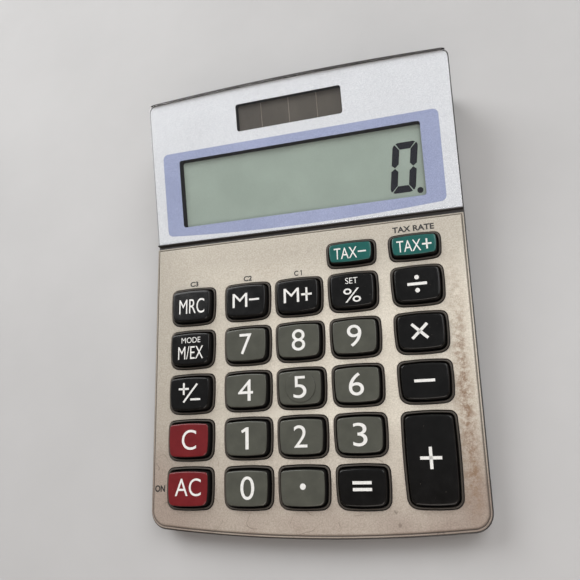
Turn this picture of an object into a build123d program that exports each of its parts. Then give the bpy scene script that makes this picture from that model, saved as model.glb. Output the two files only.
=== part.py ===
from build123d import *
import math
import os

# A desktop calculator with 26 keys, a tilted display panel and a solar cell.
# Millimetres and degrees. +X is to the user's right, +Y away from the user, +Z up.
# The origin is on the table, under the middle of the body.

# ---- Whole body --------------------------------------------------------------------
WIDTH = 103.0
FRONT_WIDTH = 101.2
LENGTH = 147.0
HEIGHT = 28.8
PLATE_SLOPE = 4.0
PANEL_SLOPE = 16.0
FOOT_STANDOFF = 0.8
WALL = 1.6
FLOOR = 1.4
FRONT_BOW = 2.7
REAR_BOW = 1.3
FRONT_CORNER = 5.5
REAR_CORNER = 3.0
BOTTOM_CHAMFER = 1.4
# Forward of this line the sides draw in towards the front.
SIDE_BEND_Y = 20.0
# The rear wall leans out from the panel down to its widest height, then in again.
REAR_PROFILE = [(0.8, 71.7), (2.6, 72.6), (12.0, 73.5), (31.0, 70.0)]
# The case parts along a plane this far under the keyboard plate's face.
SPLIT_DEPTH = 4.6
TONGUE_INSET = 0.8
TONGUE_HEIGHT = 1.0
TONGUE_GAP = 0.1

# ---- Keyboard plate, in the plate's own frame: x across, v up the slope, z off it --
PLATE_THICKNESS = 0.9
PLATE_INSET = 0.35
PLATE_ROLL = 0.6
PLATE_REAR = 65.0
BODY_FRONT = -27.9
PLATE_HOLE_GAP = 0.1
CASE_SKIN = 1.3

# ---- Display panel, in the panel's own frame: x across, w up the slope, z off it ---
PANEL_START = 66.6
PANEL_LENGTH = 50.15
PANEL_BOW = 0.8
PANEL_CORNER = 2.0
PANEL_THICKNESS = 1.2
PANEL_BEVEL = 0.25
PRINT_THICKNESS = 0.2
PRINT_INSET = 0.3
TAPE_THICKNESS = 0.2
TAPE_INSET = 1.0
PANEL_GAP = 0.1
PANEL_LIP = 0.3
LIP_DROP = 0.35
GROOVE_DEPTH = 1.6
LCD_WINDOW = (81.8, 23.1)
LCD_CENTRE = (0.0, 16.8)
SOLAR_WINDOW = (36.2, 9.4)
SOLAR_CENTRE = (-0.85, 39.65)
WINDOW_RIM = 0.6
WINDOW_CORNER = 0.9

# ---- Keys --------------------------------------------------------------------------
COLUMNS = [-37.05, -18.05, -0.9, 16.4, 35.9]
ROWS = [43.25, 29.0, 14.75, 0.5, -13.8]
TAX_ROW = 55.45
COLLAR_SIZE = (15.9, 12.9)
TAX_COLLAR_HEIGHT = 8.9
TALL_COLLAR_HEIGHT = 26.7
TALL_KEY_V = -6.6
COLLAR_RISE = 0.35
COLLAR_WIDTH = 0.9
KEY_GAP = 0.25
KEY_RISE = 2.35
KEY_DRAFT = 0.3
KEY_EDGE = 0.45
KEY_WALL = 1.0
KEY_TOP = 1.3
KEY_TRAVEL = 1.2
FLANGE_REACH = 0.55
FLANGE_THICKNESS = 0.7
FLANGE_GAP = 0.15
STEM_RADIUS = 2.4
TALL_KEY_STEMS = [-7.0, 7.0]
KEY_NAMES = [
    ["mrc", "m_minus", "m_plus", "percent", "divide"],
    ["m_ex", "7", "8", "9", "multiply"],
    ["sign", "4", "5", "6", "minus"],
    ["c", "1", "2", "3", "plus"],
    ["ac", "0", "point", "equals"],
]
TAX_NAMES = {"tax_minus": 3, "tax_plus": 4}
TALL_KEY = "plus"

# ---- Board, key mat and display ----------------------------------------------------
BOARD_DEPTH = 5.1
BOARD_THICKNESS = 1.0
BOARD_HALF_WIDTH = 42.5
BOARD_FRONT = -19.3
BOARD_REAR = 63.3
BOARD_CORNER = 3.0
MAT_THICKNESS = 0.6
MAT_REAR = 60.2
DOME_BASE = 3.6
DOME_TIP = 2.3
DOME_GAP = 0.1
DOME_WALL = 0.7
PAD_RADIUS = 2.2
PAD_THICKNESS = 0.1
LCD_GLASS = (88.5, 28.8, 1.1)
LCD_LEDGE = 2.0
LCD_W = 16.8
HOLDER_SIZE = (93.0, 31.4)
HOLDER_BACK = 1.0
FLEX_THICKNESS = 0.13
FLEX_WIDTH = 56.0
SOLAR_CELL = (38.6, 11.6, 1.1)
CHIP_RADIUS = 6.0
CHIP_HEIGHT = 1.4
CHIP_PLACE = (0.0, 44.0)
CAPACITOR = (2.5, 7.0)
CAPACITOR_PLACE = (-22.0, 55.0)
CHIP_PART_SIZE = (2.0, 1.25, 0.6)
CHIP_PART_PLACES = [(-12.0, 40.0), (-12.0, 46.0), (12.0, 39.0), (12.0, 44.0), (12.0, 49.0)]

# ---- Battery and wires -------------------------------------------------------------
BATTERY_PLACE = (30.0, 52.0)
BATTERY_RADIUS = 5.8
BATTERY_HEIGHT = 3.05
HOLDER_WALL = 1.3
HOLDER_FLOOR = 0.6
CONTACT_THICKNESS = 0.3
CONTACT_WIDTH = 3.0
CONTACT_REACH = 9.5
CONTACT_OFFSET = 3.0
WIRE_RADIUS = 0.45
SOLAR_WIRE_X = [-14.0, 12.0]
WIRE_END_V = 61.5

# ---- Screws and feet ---------------------------------------------------------------
CASE_SCREWS = [(45.6, -21.2), (46.6, 62.8), (45.0, 109.6)]
SEAT_DEPTH = 2.0
SCREW_BITE = 3.0
SCREW_RADIUS = 1.0
SCREW_HEAD = (2.3, 1.3)
PILOT_RADIUS = 1.05
CLEARANCE_RADIUS = 1.25
COUNTERBORE_RADIUS = 2.5
UPPER_BOSS_RADIUS = 2.2
LOWER_BOSS_RADIUS = 3.3
BOARD_SCREWS = [(-27.55, 36.1), (26.15, 36.1), (-27.55, 7.6), (26.15, 7.6)]
BOARD_BOSS_RADIUS = 1.8
BOARD_SCREW_RADIUS = 0.75
BOARD_SCREW_HEAD = (1.6, 0.8)
BOARD_PILOT_RADIUS = 0.8
DRIVE_SLOT = (2.4, 0.6, 0.7)
FOOT_RADIUS = 4.5
FOOT_RECESS = 0.6
FOOT_PLACES = {
    "foot_front_left": (-38.0, -61.0),
    "foot_front_right": (38.0, -61.0),
    "foot_rear_left": (-38.0, 58.0),
    "foot_rear_right": (38.0, 58.0),
}

# A length that reaches past the body in every direction.
BIG = 200.0
OVERCUT = 1.0


def sin(angle):
    return math.sin(math.radians(angle))


def cos(angle):
    return math.cos(math.radians(angle))


# The plate's frame is placed so that the panel's rear edge is the highest line of the
# body and the body's front is at -LENGTH / 2.
PLATE_Z = HEIGHT - PANEL_LENGTH * sin(PANEL_SLOPE) - PANEL_START * sin(PLATE_SLOPE)
PLATE_Y = -LENGTH / 2 - BODY_FRONT * cos(PLATE_SLOPE)
PLATE = Location((0, PLATE_Y, PLATE_Z), (PLATE_SLOPE, 0, 0))
PANEL = PLATE * Location((0, PANEL_START, 0), (PANEL_SLOPE - PLATE_SLOPE, 0, 0))
FLOOR_TOP = FOOT_STANDOFF + FLOOR
LIP_START = PANEL_START - PANEL_LIP

# Depths of each layer under the face of the plate or the panel.
SKIN_BOTTOM = PLATE_THICKNESS + CASE_SKIN
FLANGE_TOP = SKIN_BOTTOM + FLANGE_GAP
FLANGE_BOTTOM = FLANGE_TOP + FLANGE_THICKNESS
BOARD_BOTTOM = BOARD_DEPTH + BOARD_THICKNESS
PRINT_BOTTOM = PANEL_THICKNESS + PRINT_THICKNESS
PANEL_SEAT = PRINT_BOTTOM + TAPE_THICKNESS
PANEL_SKIN_BOTTOM = PANEL_SEAT + CASE_SKIN
GLASS_BOTTOM = PANEL_SKIN_BOTTOM + 2 * LCD_GLASS[2]


# ---- Outlines ----------------------------------------------------------------------
def edge_between(start, middle, end):
    """A straight or bowed edge, as the middle point asks."""
    if abs(middle[1] - start[1]) < 1e-6:
        return Line(start, end)
    return ThreePointArc(start, middle, end)


def cushion(width, height, shrink=0.0):
    """A key's outline: all four sides bow out, and the lower corners are rounder."""
    half_w = width / 2 - shrink
    half_h = height / 2 - shrink
    bow = min(0.4, height * 0.035)
    top_x = half_w - 0.15
    low_x = half_w - 0.45
    corner_y = half_h - bow
    widest_y = half_h * 0.15
    upper_left = (-top_x, corner_y)
    upper_right = (top_x, corner_y)
    lower_right = (low_x, -corner_y)
    lower_left = (-low_x, -corner_y)
    edges = [
        ThreePointArc(upper_left, (0, half_h), upper_right),
        ThreePointArc(upper_right, (half_w, widest_y), lower_right),
        ThreePointArc(lower_right, (0, -half_h), lower_left),
        ThreePointArc(lower_left, (-half_w, widest_y), upper_left),
    ]
    lower_radius = min(3.2, height * 0.27) - shrink
    upper_radius = min(2.1, height * 0.22) - shrink * 0.8
    face = make_face(edges)
    face = fillet(face.vertices().sort_by(Axis.Y)[:2], lower_radius)
    return fillet(face.vertices().sort_by(Axis.Y)[-2:], upper_radius)


def bowed_sheet(half_front, half_rear, front, rear, bows, corners, bend=None):
    """A sheet with straight sides whose front and rear edges may bow outwards.

    With a bend, the sides reach their full width there and run straight on."""
    front_bow, rear_bow = bows
    front_side = front + front_bow
    rear_side = rear - rear_bow
    right = [(half_front, front_side), (half_rear, rear_side)]
    if bend is not None:
        right.insert(1, (half_rear, bend))
    left = [(-x, y) for x, y in reversed(right)]
    edges = [
        edge_between(left[-1], (0, front), right[0]),
        Polyline(*right),
        edge_between(right[-1], (0, rear), left[0]),
        Polyline(*left),
    ]
    face = make_face(edges)
    front_corner, rear_corner = corners
    if front_corner:
        face = fillet(face.vertices().sort_by(Axis.Y)[:2], front_corner)
    if rear_corner:
        face = fillet(face.vertices().sort_by(Axis.Y)[-2:], rear_corner)
    return face


def slab(face, depth_from, depth_to):
    """A sheet between two depths below the plane that it is drawn on."""
    return Pos(0, 0, -depth_to) * extrude(face, depth_to - depth_from)


# ---- The body's closed form --------------------------------------------------------
def rear_of_body(z):
    """The rear wall's Y at a height, along its profile."""
    for (z0, y0), (z1, y1) in zip(REAR_PROFILE, REAR_PROFILE[1:]):
        if z <= z1:
            return y0 + (y1 - y0) * (z - z0) / (z1 - z0)
    return REAR_PROFILE[-1][1]


def body_section(z, inset):
    """The body's outline at a height, shrunk by an inset."""
    face = bowed_sheet(
        FRONT_WIDTH / 2 - inset,
        WIDTH / 2 - inset,
        -LENGTH / 2 + inset,
        rear_of_body(z) - inset,
        (FRONT_BOW, REAR_BOW),
        (FRONT_CORNER - inset, max(REAR_CORNER - inset, 1.0)),
        SIDE_BEND_Y,
    )
    return Pos(0, 0, z) * face


def body(inset, bottom):
    """The closed form of the whole body, shrunk by a wall, from a height upwards."""
    foot_height, chamfer_height, widest_height, top_height = [z for z, _ in REAR_PROFILE]
    chamfer_top = bottom + chamfer_height - foot_height
    sections = [
        body_section(bottom, inset + BOTTOM_CHAMFER),
        body_section(chamfer_top, inset),
        body_section(widest_height, inset),
        body_section(top_height, inset),
    ]
    return loft(sections, ruled=True)


def below_tops(plate_drop, panel_drop):
    """Everything under the keyboard plane and the panel plane, each lowered."""
    block = Box(BIG, 2 * BIG, BIG)
    under_plate = PLATE * Pos(0, 0, -plate_drop - BIG / 2) * block
    under_panel = PANEL * Pos(0, 0, -panel_drop - BIG / 2) * block
    return under_plate + under_panel


def above_split(shift=0.0):
    """Everything above the plane where the two halves of the case meet."""
    return PLATE * Pos(0, 0, BIG / 2 - SPLIT_DEPTH + shift) * Box(BIG, 2 * BIG, BIG)


def split_band(height):
    """The layer from the split plane up to a height above it."""
    return PLATE * Pos(0, 0, height / 2 - SPLIT_DEPTH) * Box(BIG, 2 * BIG, height)


def upright(x, y, low, high, radius):
    """A vertical cylinder between two heights."""
    return Pos(x, y, (low + high) / 2) * Cylinder(radius, high - low)


def plate_post(x, v, depth_from, depth_to, radius):
    """A cylinder square to the keyboard plate between two depths."""
    middle = (depth_from + depth_to) / 2
    return PLATE * Pos(x, v, -middle) * Cylinder(radius, depth_to - depth_from)


def plate_block(size, centre, depth_from, depth_to):
    """A block square to the keyboard plate between two depths."""
    middle = (depth_from + depth_to) / 2
    block = Box(size[0], size[1], depth_to - depth_from)
    return PLATE * Pos(centre[0], centre[1], -middle) * block


def panel_block(size, centre, depth_from, depth_to):
    """A block square to the display panel between two depths."""
    middle = (depth_from + depth_to) / 2
    block = Box(size[0], size[1], depth_to - depth_from)
    return PANEL * Pos(centre[0], centre[1], -middle) * block


# ---- Keys --------------------------------------------------------------------------
def key_list():
    """Every key as (name, x, v, collar width, collar height)."""
    keys = []
    width, height = COLLAR_SIZE
    for v, names in zip(ROWS, KEY_NAMES):
        for x, name in zip(COLUMNS, names):
            if name == TALL_KEY:
                keys.append((name, x, TALL_KEY_V, width, TALL_COLLAR_HEIGHT))
            else:
                keys.append((name, x, v, width, height))
    for name, column in TAX_NAMES.items():
        keys.append((name, COLUMNS[column], TAX_ROW, width, TAX_COLLAR_HEIGHT))
    return keys


def stem_offsets(key):
    """A key presses one dome, or two if it is the tall one."""
    return TALL_KEY_STEMS if key[0] == TALL_KEY else [0.0]


def dome_places():
    return [(key[1], key[2] + offset) for key in key_list() for offset in stem_offsets(key)]


def key_prism(key, shrink, depth_from, depth_to):
    """A straight prism with a key's collar outline, shrunk."""
    _, x, v, width, height = key
    return PLATE * Pos(x, v) * slab(cushion(width, height, shrink), depth_from, depth_to)


def keycap(key):
    """A hollow cap with a retaining flange under the case skin and a stem inside."""
    _, x, v, width, height = key
    shrink = COLLAR_WIDTH + KEY_GAP
    base = cushion(width, height, shrink)
    top = Pos(0, 0, FLANGE_TOP + KEY_RISE) * cushion(width, height, shrink + KEY_DRAFT)
    cap = loft([base, top], ruled=True)
    cap = fillet(cap.faces().sort_by(Axis.Z)[-1].edges(), KEY_EDGE)
    cap = PLATE * Pos(x, v, -FLANGE_TOP) * cap
    roof = KEY_TOP - KEY_RISE
    cap += key_prism(key, COLLAR_WIDTH - FLANGE_REACH, FLANGE_TOP, FLANGE_BOTTOM)
    cap -= key_prism(key, shrink + KEY_WALL, roof, FLANGE_BOTTOM)
    for offset in stem_offsets(key):
        cap += plate_post(x, v + offset, roof, FLANGE_BOTTOM, STEM_RADIUS)
    return cap


def keyboard_plate():
    """The cover around the keys, with a rolled outer edge and an opening for each key."""
    face = bowed_sheet(
        FRONT_WIDTH / 2 - PLATE_INSET,
        WIDTH / 2 - PLATE_INSET,
        BODY_FRONT + PLATE_INSET,
        PLATE_REAR,
        (FRONT_BOW, 0),
        (FRONT_CORNER - PLATE_INSET, 0),
    )
    sheet = slab(face, 0, PLATE_THICKNESS)
    sheet = fillet(sheet.faces().sort_by(Axis.Z)[-1].edges(), PLATE_ROLL)
    holes = [key_prism(key, -PLATE_HOLE_GAP, -1, PLATE_THICKNESS + 1) for key in key_list()]
    return PLATE * sheet - holes


# ---- Display stack -----------------------------------------------------------------
def panel_face(inset):
    """The panel's outline: straight sides, and a rear edge that bows outwards."""
    return bowed_sheet(
        WIDTH / 2 - inset,
        WIDTH / 2 - inset,
        PANEL_GAP + inset,
        PANEL_LENGTH - inset,
        (0, PANEL_BOW),
        (0, PANEL_CORNER - inset),
    )


def windows(rim, depth_from, depth_to):
    """The display's and the solar cell's windows, each wider than the print by a rim."""
    cuts = []
    for size, centre in ((LCD_WINDOW, LCD_CENTRE), (SOLAR_WINDOW, SOLAR_CENTRE)):
        face = RectangleRounded(size[0] + 2 * rim, size[1] + 2 * rim, WINDOW_CORNER)
        cuts.append(PANEL * Pos(*centre) * slab(face, depth_from, depth_to))
    return cuts


def display_panel():
    sheet = slab(panel_face(0), 0, PANEL_THICKNESS)
    return PANEL * chamfer(sheet.faces().sort_by(Axis.Z)[-1].edges(), PANEL_BEVEL)


def panel_print():
    sheet = PANEL * slab(panel_face(PRINT_INSET), PANEL_THICKNESS, PRINT_BOTTOM)
    return sheet - windows(0, 0, PANEL_SEAT)


def panel_tape():
    sheet = PANEL * slab(panel_face(TAPE_INSET), PRINT_BOTTOM, PANEL_SEAT)
    return sheet - windows(WINDOW_RIM, 0, PANEL_SEAT + OVERCUT)


def lcd_glass():
    """Two sheets: the rear one is longer and carries the contacts on its ledge."""
    width, length, thickness = LCD_GLASS
    middle = PANEL_SKIN_BOTTOM + thickness
    front_size = (width, length - LCD_LEDGE)
    front_centre = (0, LCD_W + LCD_LEDGE / 2)
    front = panel_block(front_size, front_centre, PANEL_SKIN_BOTTOM, middle)
    rear = panel_block((width, length), (0, LCD_W), middle, GLASS_BOTTOM)
    return Compound([front, rear])


def lcd_holder():
    """A tray that clamps the glass against the case, with a gap for the flex."""
    width, length, thickness = LCD_GLASS
    bottom = GLASS_BOTTOM + HOLDER_BACK
    tray = panel_block(HOLDER_SIZE, (0, LCD_W), PANEL_SKIN_BOTTOM, bottom)
    seat = (width + 0.2, length + 0.2)
    tray -= panel_block(seat, (0, LCD_W), 0, GLASS_BOTTOM)
    tray -= panel_block((width - 8, length - 8), (0, LCD_W), 0, bottom + OVERCUT)
    gap_size = (FLEX_WIDTH + 4, HOLDER_SIZE[1] / 2)
    gap_centre = (0, LCD_W - HOLDER_SIZE[1] / 2)
    return tray - panel_block(gap_size, gap_centre, 0, PANEL_SKIN_BOTTOM + thickness + 0.6)


def on_plate_side(w, depth):
    """Where a point of the panel's frame lies in the plate's frame, as (v, height)."""
    tilt = PANEL_SLOPE - PLATE_SLOPE
    v = PANEL_START + w * cos(tilt) + depth * sin(tilt)
    return v, w * sin(tilt) - depth * cos(tilt)


def lcd_flex():
    """A heat-seal film from the glass's ledge down to the board's rear edge."""
    ledge_depth = PANEL_SKIN_BOTTOM + LCD_GLASS[2]
    ledge_front = LCD_W - LCD_GLASS[1] / 2
    film = [
        on_plate_side(ledge_front + LCD_LEDGE - 0.2, ledge_depth),
        on_plate_side(ledge_front - 0.3, ledge_depth),
        (BOARD_REAR + 0.8, -BOARD_DEPTH + 0.15),
        (BOARD_REAR - 0.4, -BOARD_DEPTH),
        (MAT_REAR + 0.4, -BOARD_DEPTH),
    ]
    upper = [(v, z + FLEX_THICKNESS) for v, z in reversed(film)]
    face = Plane.YZ * make_face(Polyline(*film, *upper, close=True))
    return PLATE * extrude(face, FLEX_WIDTH / 2, both=True)


def solar_cell():
    top = PANEL_SKIN_BOTTOM
    return panel_block(SOLAR_CELL[:2], SOLAR_CENTRE, top, top + SOLAR_CELL[2])


# ---- Board and key mat -------------------------------------------------------------
def board_face(front, rear):
    face = Rectangle(2 * BOARD_HALF_WIDTH, rear - front)
    face = fillet(face.vertices(), BOARD_CORNER)
    return Pos(0, (front + rear) / 2) * face


def main_board():
    board = slab(board_face(BOARD_FRONT, BOARD_REAR), BOARD_DEPTH, BOARD_BOTTOM)
    return PLATE * board - [
        plate_post(x, v, BOARD_DEPTH - 1, BOARD_BOTTOM + 1, BOARD_SCREW_RADIUS + 0.15)
        for x, v in BOARD_SCREWS
    ]


def contact_pads():
    top = BOARD_DEPTH - PAD_THICKNESS
    return Compound([plate_post(x, v, top, BOARD_DEPTH, PAD_RADIUS) for x, v in dome_places()])


def dome(x, v, radius_shift, bottom, tip):
    """A blunt cone on the board side of a key."""
    cone = Cone(DOME_BASE - radius_shift, DOME_TIP - radius_shift, bottom - tip)
    return PLATE * Pos(x, v, -(bottom + tip) / 2) * cone


def rubber_key_mat():
    """One moulded sheet on the board, with a hollow dome under each key stem."""
    sheet_top = BOARD_DEPTH - MAT_THICKNESS
    tip = FLANGE_BOTTOM + DOME_GAP
    mat = PLATE * slab(board_face(BOARD_FRONT, MAT_REAR), sheet_top, BOARD_DEPTH)
    mat = mat + [dome(x, v, 0, sheet_top, tip) for x, v in dome_places()]
    mat = mat - [
        dome(x, v, DOME_WALL, BOARD_DEPTH, tip + DOME_WALL) for x, v in dome_places()
    ]
    return mat - [
        plate_post(x, v, FLANGE_BOTTOM, BOARD_DEPTH + 1, BOARD_BOSS_RADIUS + 0.2)
        for x, v in BOARD_SCREWS
    ]


def chip_blob():
    x, v = CHIP_PLACE
    drop = Cylinder(CHIP_RADIUS, CHIP_HEIGHT)
    drop = fillet(drop.edges().sort_by(Axis.Z)[0], CHIP_HEIGHT * 0.8)
    return PLATE * Pos(x, v, -BOARD_BOTTOM - CHIP_HEIGHT / 2) * drop


def capacitor():
    """An electrolytic capacitor lying on the underside of the board."""
    radius, length = CAPACITOR
    x, v = CAPACITOR_PLACE
    can = Rot(0, 90, 0) * Cylinder(radius, length)
    return PLATE * Pos(x, v, -BOARD_BOTTOM - radius) * can


def chip_parts():
    bottom = BOARD_BOTTOM + CHIP_PART_SIZE[2]
    return Compound(
        [
            plate_block(CHIP_PART_SIZE[:2], place, BOARD_BOTTOM, bottom)
            for place in CHIP_PART_PLACES
        ]
    )


# ---- Case --------------------------------------------------------------------------
def screw_places():
    """Every case screw as (x, y, height of the seat under its head)."""
    places = []
    for x, v in CASE_SCREWS:
        y = PLATE_Y + v * cos(PLATE_SLOPE)
        split = PLATE_Z + v * sin(PLATE_SLOPE) - SPLIT_DEPTH * cos(PLATE_SLOPE)
        places += [(-x, y, split - SEAT_DEPTH), (x, y, split - SEAT_DEPTH)]
    return places


def panel_pocket():
    """The seat that the panel lies in: open at the sides, bowed at the rear."""
    half = WIDTH / 2 + OVERCUT
    rear = PANEL_LENGTH + PANEL_GAP
    face = bowed_sheet(half, half, 0, rear, (0, PANEL_BOW), (0, PANEL_CORNER))
    return PANEL * slab(face, -BIG, PANEL_SEAT)


def plate_pocket():
    """The seat under the keyboard plate, and the groove in front of the panel."""
    over_plate = plate_block((BIG, BIG), (0, LIP_START - BIG / 2), -BIG, PLATE_THICKNESS)
    groove_size = (BIG, LIP_START - PLATE_REAR)
    groove_centre = (0, (LIP_START + PLATE_REAR) / 2)
    return over_plate + plate_block(groove_size, groove_centre, -BIG, GROOVE_DEPTH)


def front_case():
    """Upper half of the case: skin, walls, key collars and screw bosses."""
    outside = body(0, FOOT_STANDOFF) & below_tops(PLATE_THICKNESS, LIP_DROP)
    outside = (outside - plate_pocket() - panel_pocket()) & above_split()
    inside = body(WALL, FLOOR_TOP) & below_tops(SKIN_BOTTOM, PANEL_SKIN_BOTTOM)
    tongue_room = body(TONGUE_INSET - TONGUE_GAP, FLOOR_TOP)
    solid = outside - inside - (tongue_room & split_band(TONGUE_HEIGHT + TONGUE_GAP))
    bosses = [
        upright(x, y, seat, HEIGHT, UPPER_BOSS_RADIUS) for x, y, seat in screw_places()
    ]
    bosses = [boss & outside for boss in bosses]
    posts = [
        plate_post(x, v, SKIN_BOTTOM - 0.2, BOARD_DEPTH, BOARD_BOSS_RADIUS)
        for x, v in BOARD_SCREWS
    ]
    collars = [key_prism(key, 0, -COLLAR_RISE, SKIN_BOTTOM - 0.2) for key in key_list()]
    solid = solid + bosses + posts + collars
    holes = [key_prism(key, COLLAR_WIDTH, -1, SKIN_BOTTOM + 1) for key in key_list()]
    for x, y, seat in screw_places():
        top = seat + SEAT_DEPTH + SCREW_BITE + 0.3
        holes.append(upright(x, y, seat, top, PILOT_RADIUS))
    for x, v in BOARD_SCREWS:
        holes.append(plate_post(x, v, SKIN_BOTTOM - 0.6, BOARD_DEPTH + 1, BOARD_PILOT_RADIUS))
    return solid - holes - windows(WINDOW_RIM, PANEL_SEAT - 1, PANEL_SKIN_BOTTOM + 1)


def rear_case():
    """Lower half: a tray with a tongue, screw bosses and recesses for the feet."""
    outside = body(0, FOOT_STANDOFF)
    below = outside - above_split()
    inside = body(WALL, FLOOR_TOP)
    tongue = (body(TONGUE_INSET, FLOOR_TOP) - inside) & split_band(TONGUE_HEIGHT)
    bosses = [
        upright(x, y, FOOT_STANDOFF, seat + 2 * SEAT_DEPTH, LOWER_BOSS_RADIUS) & below
        for x, y, seat in screw_places()
    ]
    holes = []
    for x, y, seat in screw_places():
        holes.append(upright(x, y, -OVERCUT, seat, COUNTERBORE_RADIUS))
        holes.append(upright(x, y, seat, seat + 2 * SEAT_DEPTH, CLEARANCE_RADIUS))
    for x, y in FOOT_PLACES.values():
        top = FOOT_STANDOFF + FOOT_RECESS
        holes.append(upright(x, y, -OVERCUT, top, FOOT_RADIUS + 0.1))
    return (below - inside + tongue) + bosses - holes


def screw(shank_radius, shank_length, head):
    """A pan-head screw, head down at the origin, with a cross slot."""
    head_radius, head_height = head
    solid = Pos(0, 0, -head_height / 2) * Cylinder(head_radius, head_height)
    solid += Pos(0, 0, shank_length / 2) * Cylinder(shank_radius, shank_length)
    size = min(DRIVE_SLOT[0], head_radius * 1.2)
    slot = Box(size, DRIVE_SLOT[1], 2 * DRIVE_SLOT[2] * head_height / SCREW_HEAD[1])
    place = Pos(0, 0, -head_height)
    return solid - place * slot - place * Rot(0, 0, 90) * slot


def case_screws():
    one = screw(SCREW_RADIUS, SEAT_DEPTH + SCREW_BITE, SCREW_HEAD)
    return Compound([Pos(*place) * one for place in screw_places()])


def board_screws():
    length = BOARD_BOTTOM - SKIN_BOTTOM
    one = screw(BOARD_SCREW_RADIUS, length, BOARD_SCREW_HEAD)
    return Compound([PLATE * Pos(x, v, -BOARD_BOTTOM) * one for x, v in BOARD_SCREWS])


def foot(place):
    return upright(*place, 0, FOOT_STANDOFF + FOOT_RECESS, FOOT_RADIUS)


# ---- Battery and wires -------------------------------------------------------------
SPRING_LOW = FLOOR_TOP + HOLDER_FLOOR
CELL_LOW = SPRING_LOW + CONTACT_THICKNESS
CELL_HIGH = CELL_LOW + BATTERY_HEIGHT
MINUS_X = BATTERY_PLACE[0] - CONTACT_OFFSET
PLUS_X = BATTERY_PLACE[0] + CONTACT_OFFSET
CONTACT_END = BATTERY_PLACE[1] - CONTACT_REACH


def battery_holder():
    """A round cup on the floor of the case, notched for the lower contact."""
    inner = BATTERY_RADIUS + 0.2
    outer = inner + HOLDER_WALL
    cup = upright(*BATTERY_PLACE, FLOOR_TOP, CELL_HIGH, outer)
    cup -= upright(*BATTERY_PLACE, SPRING_LOW, CELL_HIGH + 1, inner)
    notch = Box(CONTACT_WIDTH + 0.4, outer, 2.0)
    return cup - Pos(MINUS_X, BATTERY_PLACE[1] - outer / 2, SPRING_LOW + 1.0) * notch


def contact(x, low, rear_reach):
    """A flat contact strip that runs from the cell towards the board."""
    rear = BATTERY_PLACE[1] + rear_reach
    middle = (rear + CONTACT_END) / 2
    strip = Box(CONTACT_WIDTH, rear - CONTACT_END, CONTACT_THICKNESS)
    return Pos(x, middle, low + CONTACT_THICKNESS / 2) * strip


def wire(path):
    """A round wire along straight runs joined by arcs that suit each bend."""
    radii = []
    for before, corner, after in zip(path, path[1:], path[2:]):
        arriving = Vector(*corner) - Vector(*before)
        leaving = Vector(*after) - Vector(*corner)
        half_turn = arriving.get_angle(leaving) / 2
        shorter = min(arriving.length, leaving.length)
        radii.append(0.45 * shorter / math.tan(math.radians(half_turn)))
    line = FilletPolyline(*path, radius=radii)
    end_plane = Plane(origin=line @ 0, z_dir=line % 0)
    return sweep(end_plane * Circle(WIRE_RADIUS), path=line)


def solar_wires():
    """Two wires from the back of the solar cell, under the display, to the board."""
    back = PANEL_SKIN_BOTTOM + SOLAR_CELL[2]
    route = [
        on_plate_side(SOLAR_CENTRE[1], back),
        on_plate_side(SOLAR_CENTRE[1], back + 5.0),
        (WIRE_END_V, -BOARD_BOTTOM - 3.4),
        (WIRE_END_V, -BOARD_BOTTOM),
    ]
    wires = [wire([(x, v, z) for v, z in route]) for x in SOLAR_WIRE_X]
    return PLATE * Compound(wires)


def battery_wires():
    """Two wires from the battery contacts to the underside of the board."""
    board_y = PLATE_Y + WIRE_END_V * cos(PLATE_SLOPE) + BOARD_BOTTOM * sin(PLATE_SLOPE)
    board_z = PLATE_Z + WIRE_END_V * sin(PLATE_SLOPE) - BOARD_BOTTOM * cos(PLATE_SLOPE)
    wires = []
    for x, low in ((MINUS_X, SPRING_LOW), (PLUS_X, CELL_HIGH)):
        z = low + CONTACT_THICKNESS / 2
        path = [(x, CONTACT_END, z), (x, board_y, z), (x, board_y, board_z - 0.05)]
        wires.append(wire(path))
    return Compound(wires)


# ---- Everything --------------------------------------------------------------------
def all_parts():
    parts = {
        "front_case": front_case(),
        "rear_case": rear_case(),
        "keyboard_plate": keyboard_plate(),
        "display_panel": display_panel(),
        "panel_print": panel_print(),
        "panel_tape": panel_tape(),
        "lcd_glass": lcd_glass(),
        "lcd_holder": lcd_holder(),
        "lcd_flex": lcd_flex(),
        "solar_cell": solar_cell(),
        "main_board": main_board(),
        "contact_pads": contact_pads(),
        "rubber_key_mat": rubber_key_mat(),
        "chip_blob": chip_blob(),
        "capacitor": capacitor(),
        "chip_parts": chip_parts(),
        "battery_holder": battery_holder(),
        "battery_cell": upright(*BATTERY_PLACE, CELL_LOW, CELL_HIGH, BATTERY_RADIUS),
        "battery_spring": contact(MINUS_X, SPRING_LOW, 4.0),
        "battery_clip": contact(PLUS_X, CELL_HIGH, 6.5),
        "solar_wires": solar_wires(),
        "battery_wires": battery_wires(),
        "case_screws": case_screws(),
        "board_screws": board_screws(),
    }
    for name, place in FOOT_PLACES.items():
        parts[name] = foot(place)
    for key in key_list():
        parts["key_" + key[0]] = keycap(key)
    return parts


os.makedirs("parts", exist_ok=True)
for node, shape in all_parts().items():
    export_step(shape, f"parts/{node}.step")
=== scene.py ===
import math

import bmesh
import bpy
from mathutils import Matrix, Vector
from mathutils.geometry import delaunay_2d_cdt


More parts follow.
